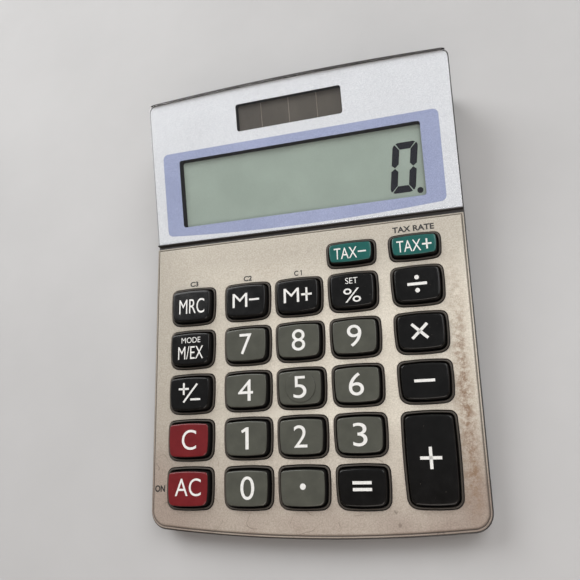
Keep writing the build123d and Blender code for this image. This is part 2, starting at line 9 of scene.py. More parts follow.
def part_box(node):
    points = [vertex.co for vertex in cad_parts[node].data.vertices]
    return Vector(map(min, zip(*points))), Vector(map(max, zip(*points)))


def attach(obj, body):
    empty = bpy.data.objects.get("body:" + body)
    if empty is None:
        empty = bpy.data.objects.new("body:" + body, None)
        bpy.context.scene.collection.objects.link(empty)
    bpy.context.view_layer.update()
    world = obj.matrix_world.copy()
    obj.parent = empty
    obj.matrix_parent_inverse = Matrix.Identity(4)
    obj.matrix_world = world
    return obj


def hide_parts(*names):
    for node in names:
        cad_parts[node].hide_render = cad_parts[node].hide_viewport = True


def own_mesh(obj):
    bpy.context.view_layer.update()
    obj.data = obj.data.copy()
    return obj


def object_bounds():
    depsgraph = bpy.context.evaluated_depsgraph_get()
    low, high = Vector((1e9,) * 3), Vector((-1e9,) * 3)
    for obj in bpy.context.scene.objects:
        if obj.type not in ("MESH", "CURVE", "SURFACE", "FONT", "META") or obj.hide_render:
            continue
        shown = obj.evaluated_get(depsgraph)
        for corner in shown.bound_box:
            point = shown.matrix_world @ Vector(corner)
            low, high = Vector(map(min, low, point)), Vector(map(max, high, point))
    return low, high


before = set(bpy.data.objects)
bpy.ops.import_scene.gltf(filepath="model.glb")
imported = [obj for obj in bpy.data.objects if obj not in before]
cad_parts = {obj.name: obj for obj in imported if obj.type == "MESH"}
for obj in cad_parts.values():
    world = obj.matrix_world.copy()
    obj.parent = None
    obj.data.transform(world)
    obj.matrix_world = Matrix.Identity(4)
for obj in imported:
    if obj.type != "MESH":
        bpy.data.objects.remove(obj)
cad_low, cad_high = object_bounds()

# A desktop calculator around its CAD frame. Shapes are drawn in millimetres in three frames:
# the table's, the keyboard plate's (x across, v up its slope, h off it) and the display
# panel's (x across, w up its slope, h off it). They go into metres when a piece is finished.
MM = 0.001

# ---- Body ----
LENGTH = (cad_high.y - cad_low.y) / MM
HEIGHT = cad_high.z / MM
WIDTH = (cad_high.x - cad_low.x) / MM
FRONT_WIDTH = 101.2
PLATE_SLOPE = 4.0
PANEL_SLOPE = 16.0
WALL = 1.6
FOOT_STANDOFF = 0.8
FLOOR_TOP = 2.2
FRONT_BOW = 2.7
REAR_BOW = 1.3
FRONT_CORNER = 5.5
REAR_CORNER = 2.3
LEAST_REAR_CORNER = 1.0
BOTTOM_CHAMFER = 1.4
SIDE_BEND_Y = 20.0
REAR_PROFILE = [(0.8, 71.7), (2.6, 72.6), (12.0, 73.5), (31.0, 69.75)]
SPLIT_DEPTH = 4.6
CASE_EDGE = 0.3
# Farther out than the case, and how far joined solids reach into each other.
BIG = 90.0
OVERLAP = 0.2

# ---- Keyboard plate ----
BODY_FRONT = -27.9
PLATE_INSET = 0.35
PLATE_REAR = 65.0
PLATE_THICKNESS = 0.9
PLATE_LIP = 0.42
PLATE_LIP_DROP = 0.5
PLATE_GROOVE = 0.2
PLATE_ROLL = 0.75
PLATE_HOLE_GAP = 0.02
PLATE_HOLE_EDGE = 0.12
CASE_SKIN = 1.3

# ---- Display panel ----
PANEL_START = 66.6
PANEL_LENGTH = 50.15
PANEL_GAP = 0.1
PANEL_SIDE = 0.28
PANEL_REACH = 0.4
PANEL_BOW = 1.0
PANEL_CORNER = 2.5
PANEL_THICKNESS = 1.2
PANEL_BEVEL = 0.35
PRINT_BOTTOM = 1.4
PRINT_INSET = 0.06
PRINT_GAP = 0.01
PANEL_SEAT = 1.6
PANEL_SKIN_BOTTOM = 2.9
PANEL_LIP = 0.3
LIP_DROP = 0.35
GROOVE_DEPTH = 1.6
LCD_WINDOW = (82.4, 23.5)
LCD_CENTRE = (-0.25, 17.0)
SOLAR_WINDOW = (36.4, 9.4)
SOLAR_CENTRE = (-1.05, 40.1)
WINDOW_RIM = 0.6
MASK_WIDTH = 0.55
# Depth of the mask lips' tops, and the lips as (left, top): painted shadow, black strips along the left
# and top edges of each window.
SHADOW_LIP_TOP = 2.75
LCD_SHADOW_LIPS = (0.8, 0.6)
SOLAR_SHADOW_LIPS = (0.4, 0.2)
WINDOW_CORNER = 0.9
BAND_SIZE = (94.2, 28.95)
BAND_CENTRE = (-0.3, 17.225)
BAND_BOW = 1.7
BAND_CORNER = 1.8
SOLAR_CELL = (38.6, 11.6)
SOLAR_CORNER = 0.2
SOLAR_THICKNESS = 1.1
SOLAR_CELLS = 4
CELL_GAP = 0.26
CELL_MARGIN = 0.4
CELL_CORNER = 0.05
CELL_SUNK = 0.05
CELL_FILM = 0.08

# ---- Keys ----
# A bow or a corner of a key is a share of its height, and at most a size: (size, share).
KEY_BOW = (0.4, 0.035)
KEY_SIDE_BOW = 0.3
KEY_UPPER_CORNER = (2.1, 0.22)
KEY_LOWER_CORNER = (3.2, 0.27)
KEY_LEAST_CORNER = 0.2
UPPER_CORNER_SHRINK = 0.8
KEY_TAPER = (0.45, 0.15)
COLLAR_START = 0.27
COLLAR_WIDTH = 0.75
COLLAR_RISE = 0.35
COLLAR_ROUND = 0.22
KEY_GAP = 0.25
KEY_RISE = 2.35
KEY_DRAFT = 0.38
KEY_EDGE = 0.35
KEY_WALL = 1.0
KEY_TOP = 1.3
KEY_FLAT_START = 0.5
FLANGE_SHRINK = 0.35
FLANGE_TOP = 2.35
FLANGE_BOTTOM = 3.05
STEM_RADIUS = 2.4
TALL_KEY_HEIGHT = 20.0
TALL_KEY_STEMS = [-7.0, 7.0]
INK = 0.03
HOME_KEY = "5"
HOME_RING_RADIUS = 4.65
HOME_RING_RISE = 0.28
HOME_RING_SHIFT = (0.2, 0.3)

# ---- Key mat ----
MAT_BOTTOM = 5.1
MAT_THICKNESS = 0.6
MAT_HALF_WIDTH = 42.5
MAT_ENDS = (-19.3, 60.2)
MAT_CORNER = 3.0
MAT_HOLES = [(-27.55, 36.1), (26.15, 36.1), (-27.55, 7.6), (26.15, 7.6)]
MAT_HOLE_RADIUS = 2.0
DOME_BASE = 3.6
DOME_TIP = 2.3
DOME_TOP = 3.15
DOME_WALL = 0.7

# ---- Screws and feet ----
CASE_SCREWS = [(45.6, -21.2), (46.6, 62.8), (45.0, 109.6)]
SEAT_DEPTH = 2.0
COUNTERBORE_RADIUS = 2.5
CLEARANCE_RADIUS = 1.25
BOSS_RADIUS = 3.3
SCREW_BITE = 3.0
SCREW_RADIUS = 1.0
SCREW_HEAD = (2.3, 1.3)
SCREW_SLOT = (2.4, 0.5)
SCREW_SLOT_DEPTH = 0.6
SCREW_SLOT_CORNER = 0.1
SCREW_HEAD_ROUND = 0.7
FOOT_RADIUS = 4.5
FOOT_ROUND = 0.35
FOOT_GAP = 0.1
FOOT_NODES = ["foot_front_left", "foot_front_right", "foot_rear_left", "foot_rear_right"]

# ---- Fineness ----
BENDS = 14
CORNER_STEPS = 8
ROLL_STEPS = 6
# Degrees from which an edge is shaded sharp, and from which it is rounded on the case.
CREASE = 32
SHARP = 35


def sin(angle):
    return math.sin(math.radians(angle))


def cos(angle):
    return math.cos(math.radians(angle))


def tilted(y, z, slope):
    return Matrix.Translation((0, y, z)) @ Matrix.Rotation(math.radians(slope), 4, "X")


PLATE_Y = cad_low.y / MM - BODY_FRONT * cos(PLATE_SLOPE)
PLATE_Z = HEIGHT - PANEL_LENGTH * sin(PANEL_SLOPE) - PANEL_START * sin(PLATE_SLOPE)
TABLE = Matrix.Identity(4)
PLATE = tilted(PLATE_Y, PLATE_Z, PLATE_SLOPE)
PANEL = PLATE @ tilted(PANEL_START, 0, PANEL_SLOPE - PLATE_SLOPE)
SKIN_BOTTOM = PLATE_THICKNESS + CASE_SKIN


# ---- Outlines ----
def edge_at(start, end, bow, share):
    """A place and a heading along an edge that bows outwards."""
    along = end - start
    outward = Vector((along.y, -along.x)).normalized()
    place = start + along * share + outward * (4 * bow * share * (1 - share))
    heading = along + outward * (4 * bow * (1 - 2 * share))
    return place, heading.normalized()


def rounded_loop(corners):
    """A closed outline, anticlockwise, from corners (x, y, radius, bow of the next edge)."""
    count = len(corners)
    places = [Vector(corner[:2]) for corner in corners]
    lengths = [(places[(i + 1) % count] - places[i]).length for i in range(count)]

    def edge(i, share):
        return edge_at(places[i], places[(i + 1) % count], corners[i][3], share)

    cuts = []
    for i, corner in enumerate(corners):
        turn = edge(i - 1, 1)[1].angle(edge(i, 0)[1])
        cuts.append(corner[2] * math.tan(turn / 2))
    loop = []
    for i in range(count):
        j = (i + 1) % count
        start = cuts[i] / lengths[i]
        end = 1 - cuts[j] / lengths[i]
        steps = BENDS if corners[i][3] else 1
        loop += [edge(i, start + (end - start) * step / steps)[0] for step in range(steps)]
        if not corners[j][2]:
            continue
        before, arriving = edge(i, end)
        after, leaving = edge(j, cuts[j] / lengths[j])
        turn = arriving.angle(leaving)
        radius = (after - before).length / (2 * math.sin(turn / 2))
        reach = 4 / 3 * math.tan(turn / 4) * radius
        first = before + arriving * reach
        second = after - leaving * reach
        for step in range(CORNER_STEPS):
            t = step / CORNER_STEPS
            s = 1 - t
            loop.append(before * s**3 + first * 3 * s * s * t + second * 3 * s * t * t + after * t**3)
    return loop


def bowed_sheet(half_front, half_rear, front, rear, bows, corners, bend=None):
    """A sheet with straight sides whose front and rear edges bow outwards."""
    front_bow, rear_bow = bows
    front_corner, rear_corner = corners
    right = [(half_front, front + front_bow, front_corner, 0)]
    left = [(-half_rear, rear - rear_bow, rear_corner, 0)]
    if bend is not None:
        right.append((half_rear, bend, 0, 0))
        left.append((-half_rear, bend, 0, 0))
    right.append((half_rear, rear - rear_bow, rear_corner, rear_bow))
    left.append((-half_front, front + front_bow, front_corner, front_bow))
    return rounded_loop(right + left)


def rectangle(size, centre, radius, front_bow=0):
    half_w, half_h = size[0] / 2, size[1] / 2
    x, y = centre
    return rounded_loop([
        (x - half_w, y - half_h, radius, front_bow),
        (x + half_w, y - half_h, radius, 0),
        (x + half_w, y + half_h, radius, 0),
        (x - half_w, y + half_h, radius, 0),
    ])


def window(size, centre, wider=0):
    return rectangle([side + 2 * wider for side in size], centre, WINDOW_CORNER)


def circle(radius, centre, count=40):
    x, y = centre
    angles = [2 * math.pi * i / count for i in range(count)]
    return [Vector((x + radius * math.cos(a), y + radius * math.sin(a))) for a in angles]


# ---- Mesh building ----
def bridge(bm, first, second):
    for i in range(len(first)):
        j = (i + 1) % len(first)
        bm.faces.new((first[i], first[j], second[j], second[i]))


def stack(bm, layers):
    """Joins outlines at their heights, and returns the rings."""
    rings = [[bm.verts.new((point.x, point.y, height)) for point in loop] for loop, height in layers]
    for first, second in zip(rings, rings[1:]):
        bridge(bm, first, second)
    return rings


def fill(bm, outer, holes=()):
    """Closes a level ring with faces, except over its convex holes."""
    verts = []
    edges = []
    owners = []
    for owner, loop in enumerate([outer, *holes]):
        start = len(verts)
        edges += [(start + i, start + (i + 1) % len(loop)) for i in range(len(loop))]
        verts += loop
        owners += [owner] * len(loop)
    flat = [Vector((vert.co.x, vert.co.y)) for vert in verts]
    result = delaunay_2d_cdt(flat, edges, [], 1, 1e-6)
    for triangle in result[2]:
        corners = [result[3][i][0] for i in triangle]
        touched = {owners[i] for i in corners}
        if len(touched) == 1 and touched != {0}:
            continue
        bm.faces.new([verts[i] for i in corners])


def block(bm, layers):
    """A closed solid from outlines at their heights."""
    rings = stack(bm, layers)
    fill(bm, rings[0])
    fill(bm, rings[-1])


def slab(bm, outline, low, high, holes=()):
    """A flat solid between two heights, with holes."""
    rings = [stack(bm, [(loop, low), (loop, high)]) for loop in (outline, *holes)]
    for level in (0, 1):
        fill(bm, rings[0][level], [ring[level] for ring in rings[1:]])


def roll(radius, steps=ROLL_STEPS):
    """A quarter round as (how far in, how far down) from its side to its top."""
    angles = [90 * i / steps for i in range(steps + 1)]
    return [(radius * (1 - cos(a)), radius * (1 - sin(a))) for a in angles]


def ridge(start, end, top, radius, steps):
    """A ridge with two rounded edges as (across, height), from its start to its end."""
    curve = roll(radius, steps)
    rise = [(start + across, top - down) for across, down in curve]
    return rise + [(end - across, top - down) for across, down in reversed(curve)]


def linked(name, data):
    thing = bpy.data.objects.new(name, data)
    bpy.context.scene.collection.objects.link(thing)
    return thing


def evaluated(thing):
    """An object's mesh, after its modifiers or from its letters."""
    bpy.context.view_layer.update()
    depsgraph = bpy.context.evaluated_depsgraph_get()
    return bpy.data.meshes.new_from_object(thing.evaluated_get(depsgraph))


def as_mesh(bm, name="temporary"):
    mesh = bpy.data.meshes.new(name)
    bm.to_mesh(mesh)
    bm.free()
    return mesh


def temporary(bm, place=TABLE):
    """A working solid in millimetres."""
    bm.transform(place)
    bmesh.ops.recalc_face_normals(bm, faces=bm.faces[:])
    return linked("temporary", as_mesh(bm))


def settle(solid):
    """Applies a working solid's modifiers."""
    mesh = evaluated(solid)
    solid.modifiers.clear()
    solid.data = mesh
    mesh.materials.clear()


def carve(solid, tool, operation="DIFFERENCE"):
    modifier = solid.modifiers.new("carve", "BOOLEAN")
    modifier.solver = "EXACT"
    modifier.operation = operation
    modifier.object = tool
    settle(solid)
    bpy.data.objects.remove(tool)


def soften(solid):
    """Rounds a case half's edges a little."""
    modifier = solid.modifiers.new("soften", "BEVEL")
    modifier.width = CASE_EDGE
    modifier.segments = 3
    modifier.limit_method = "ANGLE"
    modifier.angle_limit = math.radians(SHARP)
    settle(solid)


def finish_piece(name, source, material, place=TABLE, replaces=(), body="case"):
    """Turns a bmesh or a working solid into a piece in metres, riding on a body."""
    piece = source if isinstance(source, bpy.types.Object) else temporary(source, place)
    piece.name = name
    mesh = piece.data
    mesh.name = name
    mesh.transform(Matrix.Scale(MM, 4))
    for layer in material if isinstance(material, list) else [material]:
        mesh.materials.append(layer)
    mesh.shade_smooth()
    mesh.set_sharp_from_angle(angle=math.radians(CREASE))
    piece.modifiers.new("normals", "WEIGHTED_NORMAL").keep_sharp = True
    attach(piece, body)
    if replaces:
        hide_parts(*replaces)
    return piece


# ---- Shader building ----
def linear(value):
    value /= 255
    return value / 12.92 if value <= 0.04045 else ((value + 0.055) / 1.055) ** 2.4


def rgb(red, green, blue):
    """A linear colour from display values of 0 to 255."""
    return (linear(red), linear(green), linear(blue), 1.0)


class Nodes:
    """A node tree that is built by short calls."""

    def __init__(self, tree):
        self.tree = tree

    def feed(self, socket, value):
        if isinstance(value, bpy.types.NodeSocket):
            self.tree.links.new(value, socket)
        elif value is not None:
            socket.default_value = value

    def add(self, kind, *values, **settings):
        """A new node's outputs, with its inputs fed in their order; None leaves one as it is."""
        node = self.tree.nodes.new("ShaderNode" + kind)
        for name, value in settings.items():
            setattr(node, name, value)
        for socket, value in zip(node.inputs, values):
            self.feed(socket, value)
        return node.outputs

    def mix(self, factor, first, second, kind="MIX"):
        floats_and_vectors = [None] * 5
        return self.add("Mix", factor, *floats_and_vectors, first, second,
                        data_type="RGBA", blend_type=kind)[2]

    def between(self, factor, low, high, to_low=0.0, to_high=1.0, step="LINEAR"):
        """Maps a number from one range to another and clamps it."""
        return self.add("MapRange", factor, low, high, to_low, to_high, interpolation_type=step)[0]

    def maths(self, operation, first, second=None):
        return self.add("Math", first, second, operation=operation)[0]

    def times(self, first, second):
        return self.maths("MULTIPLY", first, second)


class Shader(Nodes):
    """A material's node tree, read in the object's own millimetres."""

    def __init__(self, name):
        self.material = bpy.data.materials.new(name)
        self.material.use_nodes = True
        super().__init__(self.material.node_tree)
        self.tree.nodes.clear()
        self.body = self.tree.nodes.new("ShaderNodeBsdfPrincipled")
        self.output = self.tree.nodes.new("ShaderNodeOutputMaterial").inputs["Surface"]
        self.feed(self.output, self.body.outputs[0])
        place = self.add("TexCoord")["Object"]
        self.place = self.add("VectorMath", place, None, None, 1 / MM, operation="SCALE")[0]

    def set(self, colour, **values):
        """Feeds the material's colour and other inputs, and returns the material."""
        self.feed(self.body.inputs["Base Color"], colour)
        for name, value in values.items():
            self.feed(self.body.inputs[name.replace("_", " ")], value)
        return self.material

    def noise(self, size, detail, rough, stretch=None):
        """Cloudy noise whose lumps are about this many millimetres across."""
        place = self.add("Mapping", self.place, None, None, stretch)[0] if stretch else self.place
        return self.add("TexNoise", place, None, 1 / size, detail, rough)[0]

    def cells(self, size):
        return self.add("TexVoronoi", self.place, None, 1 / size)["Distance"]

    def ramp(self, factor, first, second, start=0.3, end=0.7):
        """Goes from one colour to another as a number rises."""
        outputs = self.add("ValToRGB", factor)
        elements = outputs[0].node.color_ramp.elements
        for element, place, colour in zip(elements, (start, end), (first, second)):
            element.position = place
            element.color = colour
        return outputs[0]

    def bump(self, height, depth):
        node = self.tree.nodes.new("ShaderNodeBump")
        node.inputs["Distance"].default_value = depth * MM
        self.feed(node.inputs["Height"], height)
        return node.outputs[0]


def moulded(name, colour, roughness, grain=0.25, depth=0.02, contrast=0.12, sheen=0.5):
    """Moulded plastic or rubber: fine spark-eroded grain, faint clouds and uneven gloss."""
    shader = Shader(name)
    fine = shader.noise(grain, 3, 0.6)
    cloud = shader.noise(9.0, 4, 0.6)
    dark = tuple(c * (1 - contrast) for c in colour[:3]) + (1.0,)
    light = tuple(min(c * (1 + contrast), 1.0) for c in colour[:3]) + (1.0,)
    both = shader.times(shader.maths("ADD", fine, cloud), 0.5)
    return shader.set(
        shader.ramp(both, dark, light),
        Roughness=shader.between(cloud, 0.35, 0.65, roughness - 0.06, roughness + 0.06),
        Specular_IOR_Level=sheen,
        Normal=shader.bump(fine, depth),
    )


def champagne_plate():
    """Painted aluminium with a fine metallic speckle, brown grime, a few scratches, and painted shade
    and reflection.
    """
    shader = Shader("champagne_plate")
    mix = shader.mix
    between = shader.between
    times = shader.times
    x, y, _ = shader.add("SeparateXYZ", shader.place)
    speckle = shader.noise(0.42, 2, 0.7)
    flake = shader.noise(0.2, 1, 0.5)
    cloud = shader.noise(14.0, 4, 0.55)
    stain = shader.noise(1.7, 6, 0.8)
    base = shader.ramp(cloud, rgb(195, 188, 175), rgb(207, 202, 190))
    # Painted shade: the plate is darker over its rear half and to the left, so the middle looks lit by
    # an overhead sheen.
    painted_shade_rear_left = shader.maths("MAXIMUM", between(y, -5.0, 12.0, 0.0, 0.75), between(x, -5.0, -50.0))
    base = mix(painted_shade_rear_left, base, rgb(165, 159, 148))
    # Brown towards the front and its front corners: partly grime where hands rest, partly a painted
    # reflection of the dim side where the viewer stands.
    aside = between(shader.maths("ABSOLUTE", x), 30.0, 50.0, 0.0, 0.7)
    corner = times(aside, between(y, -20.0, -60.0))
    front_grime_and_reflection = shader.maths("ADD", between(y, -40.0, -70.0), corner)
    base = mix(times(front_grime_and_reflection, between(cloud, 0.25, 0.75, 0.55, 1.0)), base, rgb(149, 136, 126))
    darker = mix(1.0, base, rgb(226, 225, 222), "MULTIPLY")
    base = mix(between(speckle, 0.35, 0.65), base, darker)
    # Brown handling marks along the right side.
    edge = times(between(x, 42.5, 45.5), between(x, 49.6, 47.2))
    reach = times(between(y, -71.0, -60.0), between(y, 12.0, -30.0))
    marks = times(times(edge, reach), between(stain, 0.42, 0.6, 0.15, 1.0))
    base = mix(marks, base, rgb(124, 102, 83))
    # Fine crooked scratches and dark specks, mostly near the front.
    crease = shader.maths("ABSOLUTE", shader.maths("SUBTRACT", shader.noise(16.0, 2, 0.45), 0.5))
    where = between(shader.noise(7.0, 2, 0.5), 0.5, 0.56)
    scratch = times(between(crease, 0.0045, 0.0015, 0.0, 0.6), where)
    scratch = times(scratch, between(y, -30.0, -60.0, 0.15, 1.0))
    base = mix(scratch, base, rgb(96, 84, 74))
    specks = between(shader.cells(2.7), 0.06, 0.04, 0.0, 0.55)
    base = mix(specks, base, rgb(112, 98, 84))
    # Painted reflection and shade: the rolled edge is darkened a little for the dark room it reflects,
    # and painted shade fills the groove outside it.
    off_plate = (0.0, -sin(PLATE_SLOPE), cos(PLATE_SLOPE))
    height = shader.add("VectorMath", shader.place, off_plate, operation="DOT_PRODUCT")["Value"]
    face = PLATE_Z * cos(PLATE_SLOPE) - PLATE_Y * sin(PLATE_SLOPE)
    lip = face - PLATE_LIP_DROP
    painted_roll_reflection = between(height, face - 0.1, lip, 0.0, 0.25)
    painted_groove_shade = between(height, lip - 0.08, face - PLATE_ROLL, 0.0, 0.85)
    base = mix(shader.maths("MAXIMUM", painted_roll_reflection, painted_groove_shade), base, rgb(86, 79, 73))
    return shader.set(
        base,
        Metallic=0.1,
        Roughness=between(flake, 0.3, 0.7, 0.5, 0.64),
        Specular_IOR_Level=0.35,
        Normal=shader.bump(flake, 0.012),
    )


def pearl_print(name, colour, deep):
    """Screen-printed ink with a fine pearl speckle under the clear panel."""
    shader = Shader(name)
    pearl = shader.noise(0.3, 2, 0.6)
    cloud = shader.noise(25.0, 3, 0.5)
    base = shader.ramp(cloud, deep, colour)
    darker = shader.mix(1.0, base, rgb(230, 231, 233), "MULTIPLY")
    base = shader.mix(shader.between(pearl, 0.4, 0.6), base, darker)
    return shader.set(base, Metallic=0.05, Roughness=0.6, Normal=shader.bump(pearl, 0.004))


def clear_sheet():
    """Clear plastic: light passes straight through, and both faces reflect by their angle."""
    shader = Shader("clear_sheet")
    gloss = shader.between(shader.noise(12.0, 4, 0.6), 0.3, 0.7, 0.03, 0.07)
    shader.set((1.0, 1.0, 1.0, 1.0), Metallic=1.0, Roughness=gloss)
    clear = shader.add("BsdfTransparent", (0.975, 0.98, 0.985, 1.0))[0]
    grazing = shader.maths("POWER", shader.add("LayerWeight")["Facing"], 5.0)
    mirror = shader.between(grazing, 0.0, 1.0, 0.045, 1.0)
    shader.feed(shader.output, shader.add("MixShader", mirror, clear, shader.body.outputs[0])[0])
    return shader.material


def lcd_face():
    """Grey-green reflective display: a fine dot texture over soft clouds, under glass."""
    shader = Shader("lcd_face")
    cloud = shader.noise(11.0, 3, 0.5)
    grain = shader.noise(0.35, 2, 0.6)
    base = shader.ramp(cloud, rgb(149, 162, 151), rgb(159, 172, 161))
    base = shader.mix(shader.between(grain, 0.3, 0.7, 0.0, 0.4), base, rgb(142, 155, 143))
    return shader.set(base, Roughness=0.32, Coat_Weight=0.6, Coat_Roughness=0.05,
                      Normal=shader.bump(grain, 0.003))


def ink(name, cloud, first, second, ends=(0.3, 0.7), **settings):
    """Printed ink, cloudy on a small scale."""
    shader = Shader(name)
    return shader.set(shader.ramp(shader.noise(*cloud), first, second, *ends), **settings)


def solar_film():
    """Amorphous silicon: brown-grey, faintly streaked along the cells."""
    shader = Shader("solar_film")
    streak = shader.noise(7.0, 3, 0.5, stretch=(1.0, 0.4, 0.4))
    base = shader.ramp(streak, rgb(78, 73, 66), rgb(90, 85, 77))
    return shader.set(base, Roughness=0.25, Coat_Weight=0.5, Coat_Roughness=0.05)


def key_plastic(name, colour, deep):
    """Satin key plastic, polished a little by use, with a few dust specks."""
    shader = Shader(name)
    grain = shader.noise(0.18, 2, 0.6)
    wear = shader.noise(4.0, 4, 0.6)
    base = shader.ramp(wear, deep, colour)
    dust = shader.between(shader.cells(1.9), 0.05, 0.03, 0.0, 0.35)
    base = shader.mix(dust, base, rgb(128, 122, 112))
    return shader.set(
        base,
        Roughness=shader.between(wear, 0.3, 0.7, 0.15, 0.22),
        Specular_IOR_Level=0.34,
        Normal=shader.bump(grain, 0.003),
    )


def steel(name, colour):
    """Bright metal, brushed one way."""
    shader = Shader(name)
    brush = shader.noise(0.5, 4, 0.6, stretch=(8.0, 1.0, 1.0))
    dark = tuple(c * 0.8 for c in colour[:3]) + (1.0,)
    return shader.set(
        shader.ramp(brush, dark, colour),
        Metallic=1.0,
        Roughness=shader.between(brush, 0.3, 0.7, 0.22, 0.38),
    )


# ---- Keys ----
KEYS = ("mrc m_minus m_plus percent divide m_ex 7 8 9 multiply sign 4 5 6 minus "
        "c 1 2 3 plus ac 0 point equals tax_minus tax_plus").split()
KEY_LOOKS = {name: "grey" if name.isdigit() else "black" for name in KEYS}
KEY_LOOKS.update(point="grey", c="red", ac="red", tax_minus="green", tax_plus="green")


def key_seat(name):
    """Where a key's collar is on the plate, and its size, from the key's CAD flange."""
    low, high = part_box("key_" + name)
    x = (low.x + high.x) / 2 / MM
    middle = (FLANGE_TOP + FLANGE_BOTTOM) / 2
    v = ((low.y + high.y) / 2 / MM - PLATE_Y - middle * sin(PLATE_SLOPE)) / cos(PLATE_SLOPE)
    depth = (FLANGE_BOTTOM - FLANGE_TOP) * sin(PLATE_SLOPE)
    width = (high.x - low.x) / MM + 2 * FLANGE_SHRINK
    height = ((high.y - low.y) / MM - depth) / cos(PLATE_SLOPE) + 2 * FLANGE_SHRINK
    return x, v, width, height


SEATS = {name: key_seat(name) for name in KEYS}


def key_outline(name, shrink):
    """A key's outline: all four sides bow out, and the lower corners are rounder."""
    x, v, width, height = SEATS[name]
    half_w = width / 2 - shrink
    half_h = height / 2 - shrink
    sizes = (KEY_BOW, KEY_UPPER_CORNER, KEY_LOWER_CORNER)
    bow, upper, lower = [min(most, height * share) for most, share in sizes]
    upper = max(upper - shrink * UPPER_CORNER_SHRINK, KEY_LEAST_CORNER)
    lower = max(lower - shrink, KEY_LEAST_CORNER)
    low_taper, high_taper = KEY_TAPER
    end = half_h - bow
    loop = rounded_loop([
        (-half_w + low_taper, -end, lower, bow),
        (half_w - low_taper, -end, lower, KEY_SIDE_BOW),
        (half_w - high_taper, end, upper, bow),
        (-half_w + high_taper, end, upper, KEY_SIDE_BOW),
    ])
    return [point + Vector((x, v)) for point in loop]


def key_cap(name, materials):
    """A hollow cap with a flange that holds it in, and a stem over each dome of the mat."""
    bm = bmesh.new()
    neck = COLLAR_WIDTH + KEY_GAP
    inside = neck + KEY_WALL
    profile = [
        (inside, KEY_RISE - KEY_TOP),
        (inside, -FLANGE_BOTTOM),
        (FLANGE_SHRINK, -FLANGE_BOTTOM),
        (FLANGE_SHRINK, -FLANGE_TOP),
        (neck, -FLANGE_TOP),
        (neck + KEY_DRAFT / 2, 0),
    ]
    profile += [(neck + KEY_DRAFT + across, KEY_RISE - down) for across, down in roll(KEY_EDGE)]
    profile.append((neck + KEY_DRAFT + KEY_EDGE + KEY_FLAT_START, KEY_RISE))
    block(bm, [(key_outline(name, shrink), h) for shrink, h in profile])
    # Painted shade: faces below the top's rounded edge take the second material, a near-black that
    # stands in for the shade on the key's sides.
    for face in bm.faces:
        if max(vert.co.z for vert in face.verts) < KEY_RISE - KEY_EDGE / 2:
            face.material_index = 1
    if name == HOME_KEY:
        ring_at = [seat + shift for seat, shift in zip(SEATS[name], HOME_RING_SHIFT)]
        shelf = [(HOME_RING_RADIUS, KEY_RISE - OVERLAP)]
        shelf += [(HOME_RING_RADIUS - across, KEY_RISE + HOME_RING_RISE - down)
                  for across, down in roll(HOME_RING_RISE / 3, 3)]
        block(bm, [(circle(radius, ring_at, 64), h) for radius, h in shelf])
    for place in dome_places(name):
        slab(bm, circle(STEM_RADIUS, place), -FLANGE_BOTTOM, KEY_RISE - KEY_TOP + OVERLAP)
    finish_piece("key_%s_cap" % name, bm, materials, PLATE, ["key_" + name],
                 "key_%s_body" % name)


# ---- Legends ----
# How much the font's strokes are thinned or thickened.
KEY_WEIGHT = -0.003
PLATE_WEIGHT = 0.034


def press(bm, points, faces, levels):
    """Raises a flat outline into a thin solid between two heights."""
    low, high = levels
    flat = bmesh.new()
    verts = [flat.verts.new((x, y, low)) for x, y in points]
    for face in faces:
        flat.faces.new([verts[i] for i in face])
    bmesh.ops.remove_doubles(flat, verts=flat.verts[:], dist=1e-5)
    bmesh.ops.recalc_face_normals(flat, faces=flat.faces[:])
    raised = bmesh.ops.extrude_face_region(flat, geom=flat.faces[:])
    tops = [item for item in raised["geom"] if isinstance(item, bmesh.types.BMVert)]
    bmesh.ops.translate(flat, verts=tops, vec=(0, 0, high - low))
    mesh = as_mesh(flat)
    bm.from_mesh(mesh)
    bpy.data.meshes.remove(mesh)


def letters(bm, seat, levels, text, width, height, dx, dv, weight=KEY_WEIGHT):
    """Letters of the built-in font, scaled to a size."""
    curve = bpy.data.curves.new("letters", "FONT")
    curve.body = text
    curve.offset = weight
    holder = linked("letters", curve)
    mesh = evaluated(holder)
    bpy.data.objects.remove(holder)
    columns = []
    for axis, size, centre in ((0, width, seat[0] + dx), (1, height, seat[1] + dv)):
        values = [vert.co[axis] for vert in mesh.vertices]
        middle = (max(values) + min(values)) / 2
        scale = size / (max(values) - min(values))
        columns.append([(value - middle) * scale + centre for value in values])
    press(bm, list(zip(*columns)), [tuple(polygon.vertices) for polygon in mesh.polygons], levels)
    bpy.data.meshes.remove(mesh)


def bar(bm, seat, levels, length, thickness, dx, dv, angle):
    """A straight stroke with square ends."""
    along = Vector((cos(angle), sin(angle))) * length / 2
    across = Vector((-sin(angle), cos(angle))) * thickness / 2
    middle = Vector((seat[0] + dx, seat[1] + dv))
    slab(bm, [middle - along - across, middle + along - across,
              middle + along + across, middle - along + across], *levels)


def dot(bm, seat, levels, radius, dx, dv):
    slab(bm, circle(radius, (seat[0] + dx, seat[1] + dv), 24), *levels)


def numeral_one(bm, seat, levels, scale, dx, dv):
    """A numeral one with a flag, which the built-in font's hasn't."""
    points = [(seat[0] + dx + x * scale, seat[1] + dv + y * scale) for x, y in ONE]
    press(bm, points, [tuple(range(len(points)))], levels)


